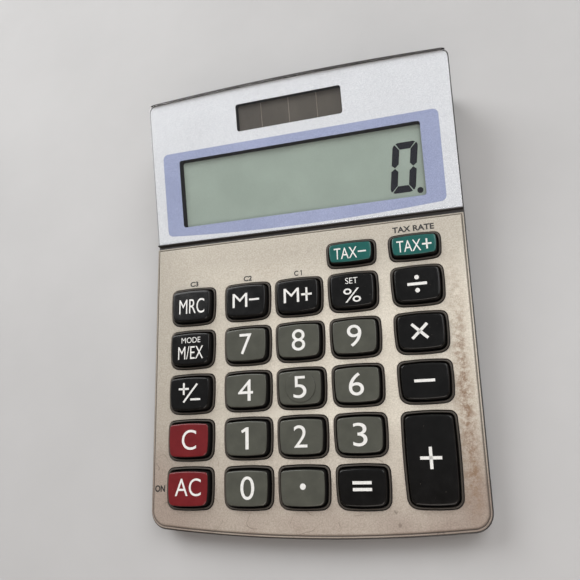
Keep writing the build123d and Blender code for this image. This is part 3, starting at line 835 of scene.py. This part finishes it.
DIGITS = {
    "0": (4.3, 6.55, 0.3, 0.1), "2": (4.05, 6.35, -0.2, 0.1), "3": (4.1, 6.5, 0.1, 0.1),
    "4": (4.85, 6.5, -0.1, 0.1), "5": (4, 6.5, 0.1, 0.15), "6": (4.4, 6.6, -0.2, 0.15),
    "7": (4, 6.5, 0, 0.2), "8": (4.2, 6.55, 0, 0.2), "9": (4.3, 6.55, 0, 0.2),
}
ONE = [(-0.05, -3.22), (0.97, -3.22), (0.97, 3.22), (0.2, 3.22),
       (-1.42, 2.3), (-1.1, 1.55), (-0.05, 2.1)]
# What each key shows: how it is drawn, its sizes, and its shift from the key's middle.
LEGENDS = {
    "mrc": [(letters, "MRC", 8.9, 4.9, 0.3, -0.2)],
    "m_minus": [(letters, "M", 5, 4.6, -1.85, 0.15), (bar, 3.4, 0.6, 2.95, 0.15, 0)],
    "m_plus": [(letters, "M", 5, 4.6, -1.85, 0.15), (bar, 3.4, 0.65, 3.05, 0.15, 0),
               (bar, 4.3, 0.65, 3.05, 0.15, 90)],
    "percent": [(letters, "SET", 3.8, 1.9, 0, 3), (letters, "%", 5.3, 4.4, 0, -1.6)],
    "divide": [(bar, 5.7, 0.85, 0, 0, 0), (dot, 0.68, 0, 2), (dot, 0.68, 0, -2)],
    "m_ex": [(letters, "MODE", 6.6, 1.8, 0.25, 2.8), (letters, "M/EX", 8.7, 4.2, 0.2, -1.25)],
    "multiply": [(bar, 6.2, 0.85, -0.35, 0.1, 44), (bar, 6.2, 0.85, -0.35, 0.1, -44)],
    "sign": [(bar, 3.5, 0.6, -1.9, 1.5, 0), (bar, 3.7, 0.6, -1.9, 1.5, 90),
             (bar, 7.3, 0.6, 0.35, 0.15, 50.7), (bar, 3.4, 0.6, 2.1, -1.85, 0)],
    "minus": [(bar, 5.8, 0.8, -0.15, 0.1, 0)],
    "c": [(letters, "C", 4.8, 6, 0.25, 0.1)],
    "plus": [(bar, 5.9, 0.85, -0.15, 0.4, 0), (bar, 5.9, 0.85, -0.15, 0.4, 90)],
    "ac": [(letters, "AC", 8.5, 5.1, 0.15, 0.45)],
    "point": [(dot, 0.87, 0.1, 0.4)],
    "equals": [(bar, 5.4, 0.85, -0.05, 1.3, 0), (bar, 5.4, 0.85, -0.05, -0.5, 0)],
    "tax_minus": [(letters, "TAX", 7.2, 3.6, -1.4, -0.2), (bar, 2.5, 0.45, 3.75, -0.1, 0)],
    "tax_plus": [(letters, "TAX", 7.2, 3.6, -1.55, -0.2), (bar, 2.75, 0.5, 3.8, -0.1, 0),
                 (bar, 3.2, 0.5, 3.8, -0.1, 90)],
    "1": [(numeral_one, 1, -0.15, 0)],
}
for digit, sizes in DIGITS.items():
    LEGENDS[digit] = [(letters, digit, *sizes)]


def key_legend(name, material):
    bm = bmesh.new()
    top = KEY_RISE + (HOME_RING_RISE if name == HOME_KEY else 0)
    for draw, *sizes in LEGENDS[name]:
        draw(bm, SEATS[name], (top - INK, top + INK), *sizes)
    finish_piece("key_%s_legend" % name, bm, material, PLATE, body="key_%s_body" % name)


def plate_legends(material):
    bm = bmesh.new()
    levels = (-INK, INK)
    for name, *row in (
        ("mrc", "C3", 2.9, 1.75, 0.0, 7.9),
        ("m_minus", "C2", 2.9, 1.75, 0.0, 7.9),
        ("m_plus", "C", 1.4, 1.75, -0.7, 7.9),
        ("tax_plus", "TAX RATE", 12.6, 1.9, 0.0, 6.1),
        ("ac", "ON", 3.4, 2.0, -10.4, 0.0),
    ):
        letters(bm, SEATS[name], levels, *row, PLATE_WEIGHT)
    numeral_one(bm, SEATS["m_plus"], levels, 0.27, 0.9, 7.9)
    finish_piece("plate_legends", bm, material, PLATE)


# ---- Plate and collars ----
def plate_outline(inset):
    side = PLATE_INSET + inset
    return bowed_sheet(FRONT_WIDTH / 2 - side, WIDTH / 2 - side, BODY_FRONT + side, PLATE_REAR - inset,
                       (FRONT_BOW, 0), (FRONT_CORNER - side, 0))


def keyboard_plate(material):
    """The plate: a fine lip, a groove and a rolled edge all round, and an opening for each key."""
    bm = bmesh.new()
    profile = [(0, -PLATE_THICKNESS), *ridge(0, PLATE_LIP, -PLATE_LIP_DROP, PLATE_LIP / 3, 3)]
    profile.append((PLATE_LIP, -PLATE_ROLL))
    profile += [(PLATE_LIP + PLATE_GROOVE + across, -down) for across, down in roll(PLATE_ROLL)]
    outer = stack(bm, [(plate_outline(inset), h) for inset, h in profile])
    holes = []
    for name in SEATS:
        hole = [(key_outline(name, -PLATE_HOLE_GAP), -PLATE_THICKNESS)]
        hole += [(key_outline(name, -PLATE_HOLE_GAP - across), -down)
                 for across, down in roll(PLATE_HOLE_EDGE, 3)]
        holes.append(stack(bm, hole))
    for level in (-1, 0):
        fill(bm, outer[level], [hole[level] for hole in holes])
    finish_piece("plate_cover", bm, material, PLATE, ["keyboard_plate"])


def key_collars(material):
    """The raised rims of the case around each key, with a rounded ridge and a steep inner wall."""
    bm = bmesh.new()
    profile = ridge(COLLAR_START, COLLAR_WIDTH, COLLAR_RISE, COLLAR_ROUND, 4)
    profile = [(COLLAR_START, -SKIN_BOTTOM), *profile, (COLLAR_WIDTH, -SKIN_BOTTOM)]
    for name in SEATS:
        rings = stack(bm, [(key_outline(name, shrink), h) for shrink, h in profile])
        bridge(bm, rings[-1], rings[0])
    finish_piece("key_collars", bm, material, PLATE)


# ---- Case ----
def rear_of_body(z):
    """The rear wall's Y at a height."""
    for (z0, y0), (z1, y1) in zip(REAR_PROFILE, REAR_PROFILE[1:]):
        if z <= z1:
            return y0 + (y1 - y0) * (z - z0) / (z1 - z0)
    return REAR_PROFILE[-1][1]


def body_outline(z, inset):
    corners = (FRONT_CORNER - inset, max(REAR_CORNER - inset, LEAST_REAR_CORNER))
    return bowed_sheet(FRONT_WIDTH / 2 - inset, WIDTH / 2 - inset, -LENGTH / 2 + inset,
                       rear_of_body(z) - inset, (FRONT_BOW, REAR_BOW), corners, SIDE_BEND_Y)


def body_solid(inset, bottom):
    """The closed form of the whole body, shrunk by a wall, from a height upwards."""
    foot_height, chamfer_height, widest_height, top_height = [z for z, _ in REAR_PROFILE]
    heights = [bottom + chamfer_height - foot_height, widest_height, top_height]
    layers = [(body_outline(bottom, inset + BOTTOM_CHAMFER), bottom)]
    layers += [(body_outline(z, inset), z) for z in heights]
    bm = bmesh.new()
    block(bm, layers)
    return temporary(bm)


def across_body(points):
    """A solid across the whole body from a section (v, h) in the plate's frame."""
    bm = bmesh.new()
    sides = [[bm.verts.new((x, v, h)) for v, h in points] for x in (-BIG, BIG)]
    bridge(bm, *sides)
    bm.faces.new(sides[0])
    bm.faces.new(sides[1])
    return temporary(bm, PLATE)


def on_plate_side(w, depth):
    """Where a point of the panel's frame lies in the plate's frame."""
    tilt = PANEL_SLOPE - PLATE_SLOPE
    return PANEL_START + w * cos(tilt) + depth * sin(tilt), w * sin(tilt) - depth * cos(tilt)


def outline_tool(loops, low, high, place):
    """Upright prisms between two heights of a frame, as one tool."""
    bm = bmesh.new()
    for loop in loops:
        slab(bm, loop, low, high)
    return temporary(bm, place)


def screw_places():
    """Every case screw as (x, y, height of the seat under its head)."""
    places = []
    for x, v in CASE_SCREWS:
        y = PLATE_Y + v * cos(PLATE_SLOPE)
        split = PLATE_Z + v * sin(PLATE_SLOPE) - SPLIT_DEPTH * cos(PLATE_SLOPE)
        places += [(-x, y, split - SEAT_DEPTH), (x, y, split - SEAT_DEPTH)]
    return places


def front_case(material):
    """Upper half of the case: walls, rims, groove, seat of the panel and the skin."""
    lip_start = PANEL_START - PANEL_LIP
    case = body_solid(0, FOOT_STANDOFF)
    carve(case, across_body([
        (-BIG, -SPLIT_DEPTH), (2 * BIG, -SPLIT_DEPTH), on_plate_side(BIG, LIP_DROP),
        on_plate_side(0, LIP_DROP), (lip_start, -LIP_DROP), (lip_start, -GROOVE_DEPTH),
        (PLATE_REAR, -GROOVE_DEPTH), (PLATE_REAR, -PLATE_THICKNESS), (-BIG, -PLATE_THICKNESS),
    ]), "INTERSECT")
    soften(case)
    # The seat's rear edge, drawn far wider than the case, bows like the panel's.
    pocket_bow = PANEL_BOW * (BIG / (WIDTH / 2)) ** 2
    pocket = bowed_sheet(BIG, BIG, 0, PANEL_LENGTH + PANEL_REACH + PANEL_GAP, (0, pocket_bow), (0, 0))
    carve(case, outline_tool([pocket], -PANEL_SEAT, BIG, PANEL))
    inside = body_solid(WALL, FLOOR_TOP)
    bend = on_plate_side(0, PANEL_SKIN_BOTTOM)
    carve(inside, across_body([
        (-BIG, -BIG), (2 * BIG, -BIG), on_plate_side(BIG, PANEL_SKIN_BOTTOM),
        bend, (bend[0], -SKIN_BOTTOM), (-BIG, -SKIN_BOTTOM),
    ]), "INTERSECT")
    carve(case, inside)
    openings = [key_outline(name, COLLAR_WIDTH / 2) for name in SEATS]
    carve(case, outline_tool(openings, -2 * SKIN_BOTTOM, 1, PLATE))
    views = [window(LCD_WINDOW, LCD_CENTRE, WINDOW_RIM), window(SOLAR_WINDOW, SOLAR_CENTRE, WINDOW_RIM)]
    carve(case, outline_tool(views, -2 * PANEL_SKIN_BOTTOM, 0, PANEL))
    finish_piece("case_front_half", case, material, replaces=["front_case"])


def foot_place(node):
    """A foot's centre, and the height of its top."""
    low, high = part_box(node)
    return ((low.x + high.x) / 2 / MM, (low.y + high.y) / 2 / MM), high.z / MM


def rear_case(material):
    """Lower half: a tray with screw bosses, counterbores and recesses for the feet."""
    case = body_solid(0, FOOT_STANDOFF)
    below = [(-BIG, -SPLIT_DEPTH), (-BIG, -BIG), (2 * BIG, -BIG), (2 * BIG, -SPLIT_DEPTH)]
    carve(case, across_body(below), "INTERSECT")
    soften(case)
    inside = body_solid(WALL, FLOOR_TOP)
    bosses = bmesh.new()
    holes = bmesh.new()
    for x, y, seat in screw_places():
        slab(bosses, circle(BOSS_RADIUS, (x, y)), 0, seat + SEAT_DEPTH)
        slab(holes, circle(COUNTERBORE_RADIUS, (x, y)), -1, seat)
        slab(holes, circle(CLEARANCE_RADIUS, (x, y)), seat - OVERLAP, seat + 2 * SEAT_DEPTH)
    for node in FOOT_NODES:
        centre, top = foot_place(node)
        slab(holes, circle(FOOT_RADIUS + FOOT_GAP, centre), -1, top)
    carve(inside, temporary(bosses))
    carve(case, inside)
    carve(case, temporary(holes))
    finish_piece("case_rear_half", case, material, replaces=["rear_case"])


def screws(material):
    """Pan-head screws, head down, with a cross slot."""
    radius, height = SCREW_HEAD
    bm = bmesh.new()
    for x, y, seat in screw_places():
        profile = [(radius - across, seat - height + down)
                   for across, down in reversed(roll(SCREW_HEAD_ROUND, 5))]
        profile += [(radius, seat), (SCREW_RADIUS, seat), (SCREW_RADIUS, seat + SEAT_DEPTH + SCREW_BITE)]
        block(bm, [(circle(r, (x, y), 24), z) for r, z in profile])
    solid = temporary(bm)
    for size in (SCREW_SLOT, SCREW_SLOT[::-1]):
        slots = bmesh.new()
        for x, y, seat in screw_places():
            slot = rectangle(size, (x, y), SCREW_SLOT_CORNER)
            slab(slots, slot, seat - height - 0.5, seat - height + SCREW_SLOT_DEPTH)
        carve(solid, temporary(slots))
    finish_piece("case_screw_set", solid, material, replaces=["case_screws"])


def foot(node, material):
    centre, top = foot_place(node)
    profile = [(FOOT_RADIUS - across, down) for across, down in reversed(roll(FOOT_ROUND, 4))]
    bm = bmesh.new()
    block(bm, [(circle(radius, centre), z) for radius, z in [*profile, (FOOT_RADIUS, top)]])
    finish_piece(node + "_pad", bm, material, replaces=[node])


# ---- Key mat ----
def dome_places(name):
    x, v, _, height = SEATS[name]
    return [(x, v + offset) for offset in (TALL_KEY_STEMS if height > TALL_KEY_HEIGHT else [0.0])]


def mat_sheet(material):
    bm = bmesh.new()
    front, rear = MAT_ENDS
    sheet = rectangle((2 * MAT_HALF_WIDTH, rear - front), (0, (front + rear) / 2), MAT_CORNER)
    holes = [circle(DOME_BASE - DOME_WALL, place) for name in SEATS for place in dome_places(name)]
    holes += [circle(MAT_HOLE_RADIUS, place, 24) for place in MAT_HOLES]
    slab(bm, sheet, -MAT_BOTTOM, MAT_THICKNESS - MAT_BOTTOM, holes)
    finish_piece("mat_sheet", bm, material, PLATE, ["rubber_key_mat"])


def mat_dome(name, material):
    """A hollow rubber dome on the sheet under its key, with a mesh of its own."""
    bm = bmesh.new()
    base = MAT_THICKNESS - MAT_BOTTOM
    for place in dome_places(name):
        block(bm, [
            (circle(DOME_TIP - DOME_WALL, place), -DOME_TOP - DOME_WALL),
            (circle(DOME_BASE - DOME_WALL, place), base),
            (circle(DOME_BASE, place), base),
            (circle(DOME_TIP, place), -DOME_TOP),
        ])
    dome = finish_piece("mat_dome_" + name, bm, material, PLATE, ["rubber_key_mat"])
    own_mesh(dome)


# ---- Display stack ----
def panel_outline(inset):
    half = WIDTH / 2 - PANEL_SIDE - inset
    rear = PANEL_LENGTH + PANEL_REACH - inset
    return bowed_sheet(half, half, PANEL_GAP + inset, rear, (0, PANEL_BOW), (0, PANEL_CORNER - inset))


def display_panel(material):
    bm = bmesh.new()
    layers = [(panel_outline(across), -down) for across, down in roll(PANEL_BEVEL, 3)]
    block(bm, [(panel_outline(0), -PANEL_THICKNESS), *layers])
    finish_piece("panel_sheet", bm, material, PANEL, ["display_panel"])


def panel_print(silver, blue):
    """The printed layer: a silver field round a blue band, with two windows."""
    band = rectangle(BAND_SIZE, BAND_CENTRE, BAND_CORNER, BAND_BOW)
    for name, outer, holes, material in (
        ("print_field", panel_outline(PRINT_INSET), [band, window(SOLAR_WINDOW, SOLAR_CENTRE)], silver),
        ("print_band", band, [window(LCD_WINDOW, LCD_CENTRE)], blue),
    ):
        bm = bmesh.new()
        slab(bm, outer, -PRINT_BOTTOM, -PANEL_THICKNESS - PRINT_GAP, holes)
        finish_piece(name, bm, material, PANEL, ["panel_print"])


DIGIT_SIZE = (7.9, 16.0)
DIGIT_CENTRE = (34.8, 15.2)
SEGMENT_WIDTH = 2.2
SEGMENT_GAP = 0.09
SEGMENT_SLANT = 0.135
SEGMENT_CORNER = 1.5
# How far in and down the mitred tips of an upright and a level segment are from the corner.
SIDE_TIP = [(0.35, 0.6), (0.75, 0.5)]
END_TIP = (0.8, 0.35)
POINT_SHIFT = (4.3, -7.9)
POINT_RADIUS = 0.95


def lcd_digits(material):
    """A slanted seven-segment nought and its point: mitred top and bottom, pointed middles."""
    bm = bmesh.new()
    half_w, half_h = DIGIT_SIZE[0] / 2, DIGIT_SIZE[1] / 2
    inner_w, inner_h = half_w - SEGMENT_WIDTH, half_h - SEGMENT_WIDTH
    gap = SEGMENT_GAP
    nib = SEGMENT_WIDTH / 2
    (outer_x, outer_y), (inner_x, inner_y) = SIDE_TIP
    upright = [
        (half_w - nib, gap), (half_w, gap + nib * 0.8), (half_w, half_h - SEGMENT_CORNER),
        (half_w - outer_x, half_h - outer_y), (half_w - inner_x + gap, half_h - inner_y - gap),
        (inner_w, inner_h - 2 * gap), (inner_w, gap + nib),
    ]
    end_x, end_y = half_w - END_TIP[0] - gap, half_h - END_TIP[1] + gap
    top_x = half_w - SEGMENT_CORNER
    level = [(-end_x, end_y), (-top_x, half_h), (top_x, half_h), (end_x, end_y),
             (inner_w - gap, inner_h), (-inner_w + gap, inner_h)]
    shapes = [[(side * x, end * y) for x, y in upright] for side in (-1, 1) for end in (-1, 1)]
    shapes += [[(x, end * y) for x, y in level] for end in (-1, 1)]
    levels = (-PANEL_SKIN_BOTTOM, -PANEL_SKIN_BOTTOM + INK)
    for shape in shapes:
        points = [(x + y * SEGMENT_SLANT + DIGIT_CENTRE[0], y + DIGIT_CENTRE[1]) for x, y in shape]
        press(bm, points, [tuple(range(len(points)))], levels)
    dot(bm, DIGIT_CENTRE, levels, POINT_RADIUS, *POINT_SHIFT)
    finish_piece("lcd_figures", bm, material, PANEL)


def window_masks_and_shadows(material):
    """Black frames under the panel that hide the gaps round the display and the cell; their lips along
    the left and top edges are painted shadow.
    """
    bm = bmesh.new()
    for size, (x, w), (left, top) in (
        (LCD_WINDOW, LCD_CENTRE, LCD_SHADOW_LIPS),
        (SOLAR_WINDOW, SOLAR_CENTRE, SOLAR_SHADOW_LIPS),
    ):
        rim = window(size, (x, w), MASK_WIDTH)
        view = window(size, (x, w))
        # Painted shadow: a black lip along the window's left and top edges only.
        lip = window((size[0] - left, size[1] - top), (x + left / 2, w - top / 2))
        rings = stack(bm, [(view, -PRINT_BOTTOM), (view, -SHADOW_LIP_TOP), (lip, -SHADOW_LIP_TOP),
                           (lip, -PANEL_SKIN_BOTTOM), (rim, -PANEL_SKIN_BOTTOM), (rim, -PRINT_BOTTOM)])
        bridge(bm, rings[-1], rings[0])
    finish_piece("window_masks_and_shadows", bm, material, PANEL)


def solar_cell(film, glass):
    """A glass slip carrying cells side by side, with a clear line between them."""
    bm = bmesh.new()
    top = -PANEL_SKIN_BOTTOM
    slip = rectangle(SOLAR_CELL, SOLAR_CENTRE, SOLAR_CORNER)
    slab(bm, slip, top - SOLAR_THICKNESS, top - CELL_SUNK)
    for face in bm.faces:
        face.material_index = 1
    width = SOLAR_CELL[0] / SOLAR_CELLS
    for i in range(SOLAR_CELLS):
        x = SOLAR_CENTRE[0] + (i - (SOLAR_CELLS - 1) / 2) * width
        size = (width - CELL_GAP, SOLAR_CELL[1] - CELL_MARGIN)
        slab(bm, rectangle(size, (x, SOLAR_CENTRE[1]), CELL_CORNER), top - CELL_FILM, top)
    finish_piece("solar_module", bm, [film, glass], PANEL, ["solar_cell"])


# ---- Building everything ----
dark_case = moulded("dark_case", rgb(44, 41, 39), 0.4)
rear_plastic = moulded("rear_plastic", rgb(62, 61, 59), 0.45)
rubber = moulded("foot_rubber", rgb(48, 48, 47), 0.75, grain=0.6)
bright_steel = steel("bright_steel", rgb(190, 188, 182))

front_case(dark_case)
rear_case(rear_plastic)
key_collars(moulded("collar_plastic", rgb(62, 57, 51), 0.5, sheen=0.4))
keyboard_plate(champagne_plate())
plate_legends(ink("plate_ink", (0.5, 4, 0.7), rgb(30, 27, 24), rgb(16, 15, 14), (0.35, 0.65),
                  Roughness=0.5))
display_panel(clear_sheet())
panel_print(pearl_print("silver_print", rgb(228, 230, 232), rgb(221, 223, 225)),
            pearl_print("blue_print", rgb(167, 175, 205), rgb(153, 162, 193)))
# Near-black for the window masks, whose lips are painted shadow.
window_masks_and_shadows(moulded("mask_foam_and_painted_shadow", rgb(14, 14, 14), 0.8, grain=0.15, sheen=0.2))
lcd_digits(ink("lcd_ink", (1.5, 3, 0.6), rgb(12, 13, 22), rgb(20, 22, 32),
               Roughness=0.4, Specular_IOR_Level=0.2))
solar_cell(solar_film(), moulded("solar_line", rgb(120, 112, 101), 0.3))
screws(bright_steel)
for node in FOOT_NODES:
    foot(node, rubber)

KEY_PLASTICS = {
    "grey": key_plastic("grey_key", rgb(75, 76, 69), rgb(67, 68, 62)),
    "black": key_plastic("black_key", rgb(15, 15, 15), rgb(11, 11, 11)),
    "red": key_plastic("red_key", rgb(103, 31, 34), rgb(93, 27, 30)),
    "green": key_plastic("green_key", rgb(30, 85, 80), rgb(26, 76, 72)),
}
mat_rubber = moulded("mat_rubber", rgb(152, 154, 156), 0.6, grain=0.5)
mat_sheet(mat_rubber)
key_ink = ink("key_ink", (0.8, 4, 0.7), rgb(196, 196, 193), rgb(212, 212, 209), (0.3, 0.6),
              Roughness=0.35)
# Near-black for the keys' side walls: painted shade.
side_painted_shade = moulded("key_side_painted_shade", rgb(17, 16, 16), 0.5, sheen=0.25)
for name, look in KEY_LOOKS.items():
    key_cap(name, [KEY_PLASTICS[look], side_painted_shade])
    key_legend(name, key_ink)
    mat_dome(name, mat_rubber)

INNER_LOOKS = {"lcd_glass": lcd_face(), "lcd_holder": dark_case, "battery_holder": rear_plastic}
for node in ("battery_cell", "battery_spring", "battery_clip", "board_screws"):
    INNER_LOOKS[node] = bright_steel
# Each other inner part's material: name, colour, roughness, grain, depth and contrast.
for node, name, colour, *looks in (
    ("panel_tape", "tape_foam", (38, 38, 38), 0.9, 0.15, 0.05),
    ("lcd_flex", "flex_film", (170, 122, 62), 0.25, 1.5, 0.002),
    ("main_board", "board_resin", (148, 112, 72), 0.55, 0.4, 0.01, 0.2),
    ("contact_pads", "carbon", (34, 34, 34), 0.7, 0.2),
    ("chip_blob", "chip_epoxy", (24, 24, 25), 0.2, 2.0),
    ("capacitor", "capacitor_sleeve", (28, 36, 68), 0.3, 1.0),
    ("chip_parts", "chip_ceramic", (62, 60, 56), 0.6, 0.2),
    ("solar_wires", "wire_red", (172, 38, 30), 0.4, 0.6, 0.005),
    ("battery_wires", "wire_black", (34, 34, 34), 0.4, 0.6, 0.005),
):
    INNER_LOOKS[node] = moulded(name, rgb(*colour), *looks)
for node, material in INNER_LOOKS.items():
    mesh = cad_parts[node].data
    mesh.materials.clear()
    mesh.materials.append(material)

# ---- Stage ----
CAMERA_PLACE = Vector((46.117, -60.764, 183.765)) * MM
CAMERA_TARGET = Vector((-3.819, 0.094, 13.531)) * MM
CAMERA_ROLL = -0.30
CAMERA_LENS = 36.63
CAMERA_NEAR = 0.01
FLOOR_REACH = 3.0
CEILING = (0.225, 0.225, 0.23, 1.0)
VIEWER_SIDE = (0.09, 0.065, 0.05, 1.0)
VIEWER_EDGE = (-0.15, -0.08)
HORIZON = (0.1, 0.1, 0.1, 1.0)
HORIZON_HEIGHT = 0.3
BACKDROP = (0.5, 0.5, 0.5, 1.0)
LIGHT_DISTANCE = 1.2
# Each soft light's name, direction, size, power and colour.
LIGHTS = (
    ("key", (-0.53, 0.53, 0.66), 0.9, 12.0, (1.0, 1.0, 1.0)),
    ("fill", (0.45, 0.42, 0.79), 1.0, 9.5, (1.0, 1.0, 1.0)),
    ("front", (0.10, -0.66, 0.74), 0.9, 7.0, (1.0, 0.92, 0.87)),
)


def stage_floor():
    bm = bmesh.new()
    corners = [(-1, -1), (1, -1), (1, 1), (-1, 1)]
    bm.faces.new([bm.verts.new((x * FLOOR_REACH, y * FLOOR_REACH, 0)) for x, y in corners])
    mesh = as_mesh(bm, "floor")
    shader = Shader("floor_paper")
    cloud = shader.noise(60.0, 4, 0.6)
    mesh.materials.append(shader.set(
        shader.ramp(cloud, rgb(163, 163, 163), rgb(169, 169, 169)),
        Roughness=0.6,
    ))
    linked("floor", mesh)


def add_camera():
    data = bpy.data.cameras.new("camera")
    data.lens = CAMERA_LENS
    data.clip_start = CAMERA_NEAR
    camera = linked("camera", data)
    back = (CAMERA_PLACE - CAMERA_TARGET).normalized()
    right = Vector((0, 1, 0)).cross(back).normalized()
    up = back.cross(right)
    pose = Matrix((right, up, back)).transposed().to_4x4()
    pose = Matrix.Translation(CAMERA_PLACE) @ pose @ Matrix.Rotation(math.radians(CAMERA_ROLL), 4, "Z")
    camera.matrix_world = pose
    bpy.context.scene.camera = camera


def add_area(name, direction, size, power, colour):
    """A round soft light, facing the object from a direction."""
    data = bpy.data.lights.new(name, "AREA")
    data.shape = "DISK"
    data.size = size
    data.energy = power
    data.color = colour
    light = linked(name, data)
    towards = Vector(direction).normalized()
    light.location = towards * LIGHT_DISTANCE
    light.rotation_euler = (-towards).to_track_quat("-Z", "Y").to_euler()


def add_world():
    """A soft ceiling overhead, dim where the viewer stands, behind a plain pale backdrop."""
    world = bpy.data.worlds.new("studio")
    world.use_nodes = True
    nodes = Nodes(world.node_tree)
    _, y, z = nodes.add("SeparateXYZ", nodes.add("TexCoord")["Generated"])
    light = nodes.mix(nodes.between(y, *VIEWER_EDGE, step="SMOOTHSTEP"), VIEWER_SIDE, CEILING)
    backdrop = nodes.mix(nodes.between(z, 0.0, HORIZON_HEIGHT, step="SMOOTHSTEP"), HORIZON, BACKDROP)
    seen = nodes.add("LightPath")["Is Camera Ray"]
    nodes.feed(nodes.tree.nodes["Background"].inputs[0], nodes.mix(seen, light, backdrop))
    bpy.context.scene.world = world


stage_floor()
add_camera()
add_world()
for light_row in LIGHTS:
    add_area(*light_row)
bpy.context.scene.view_settings.view_transform = "Standard"
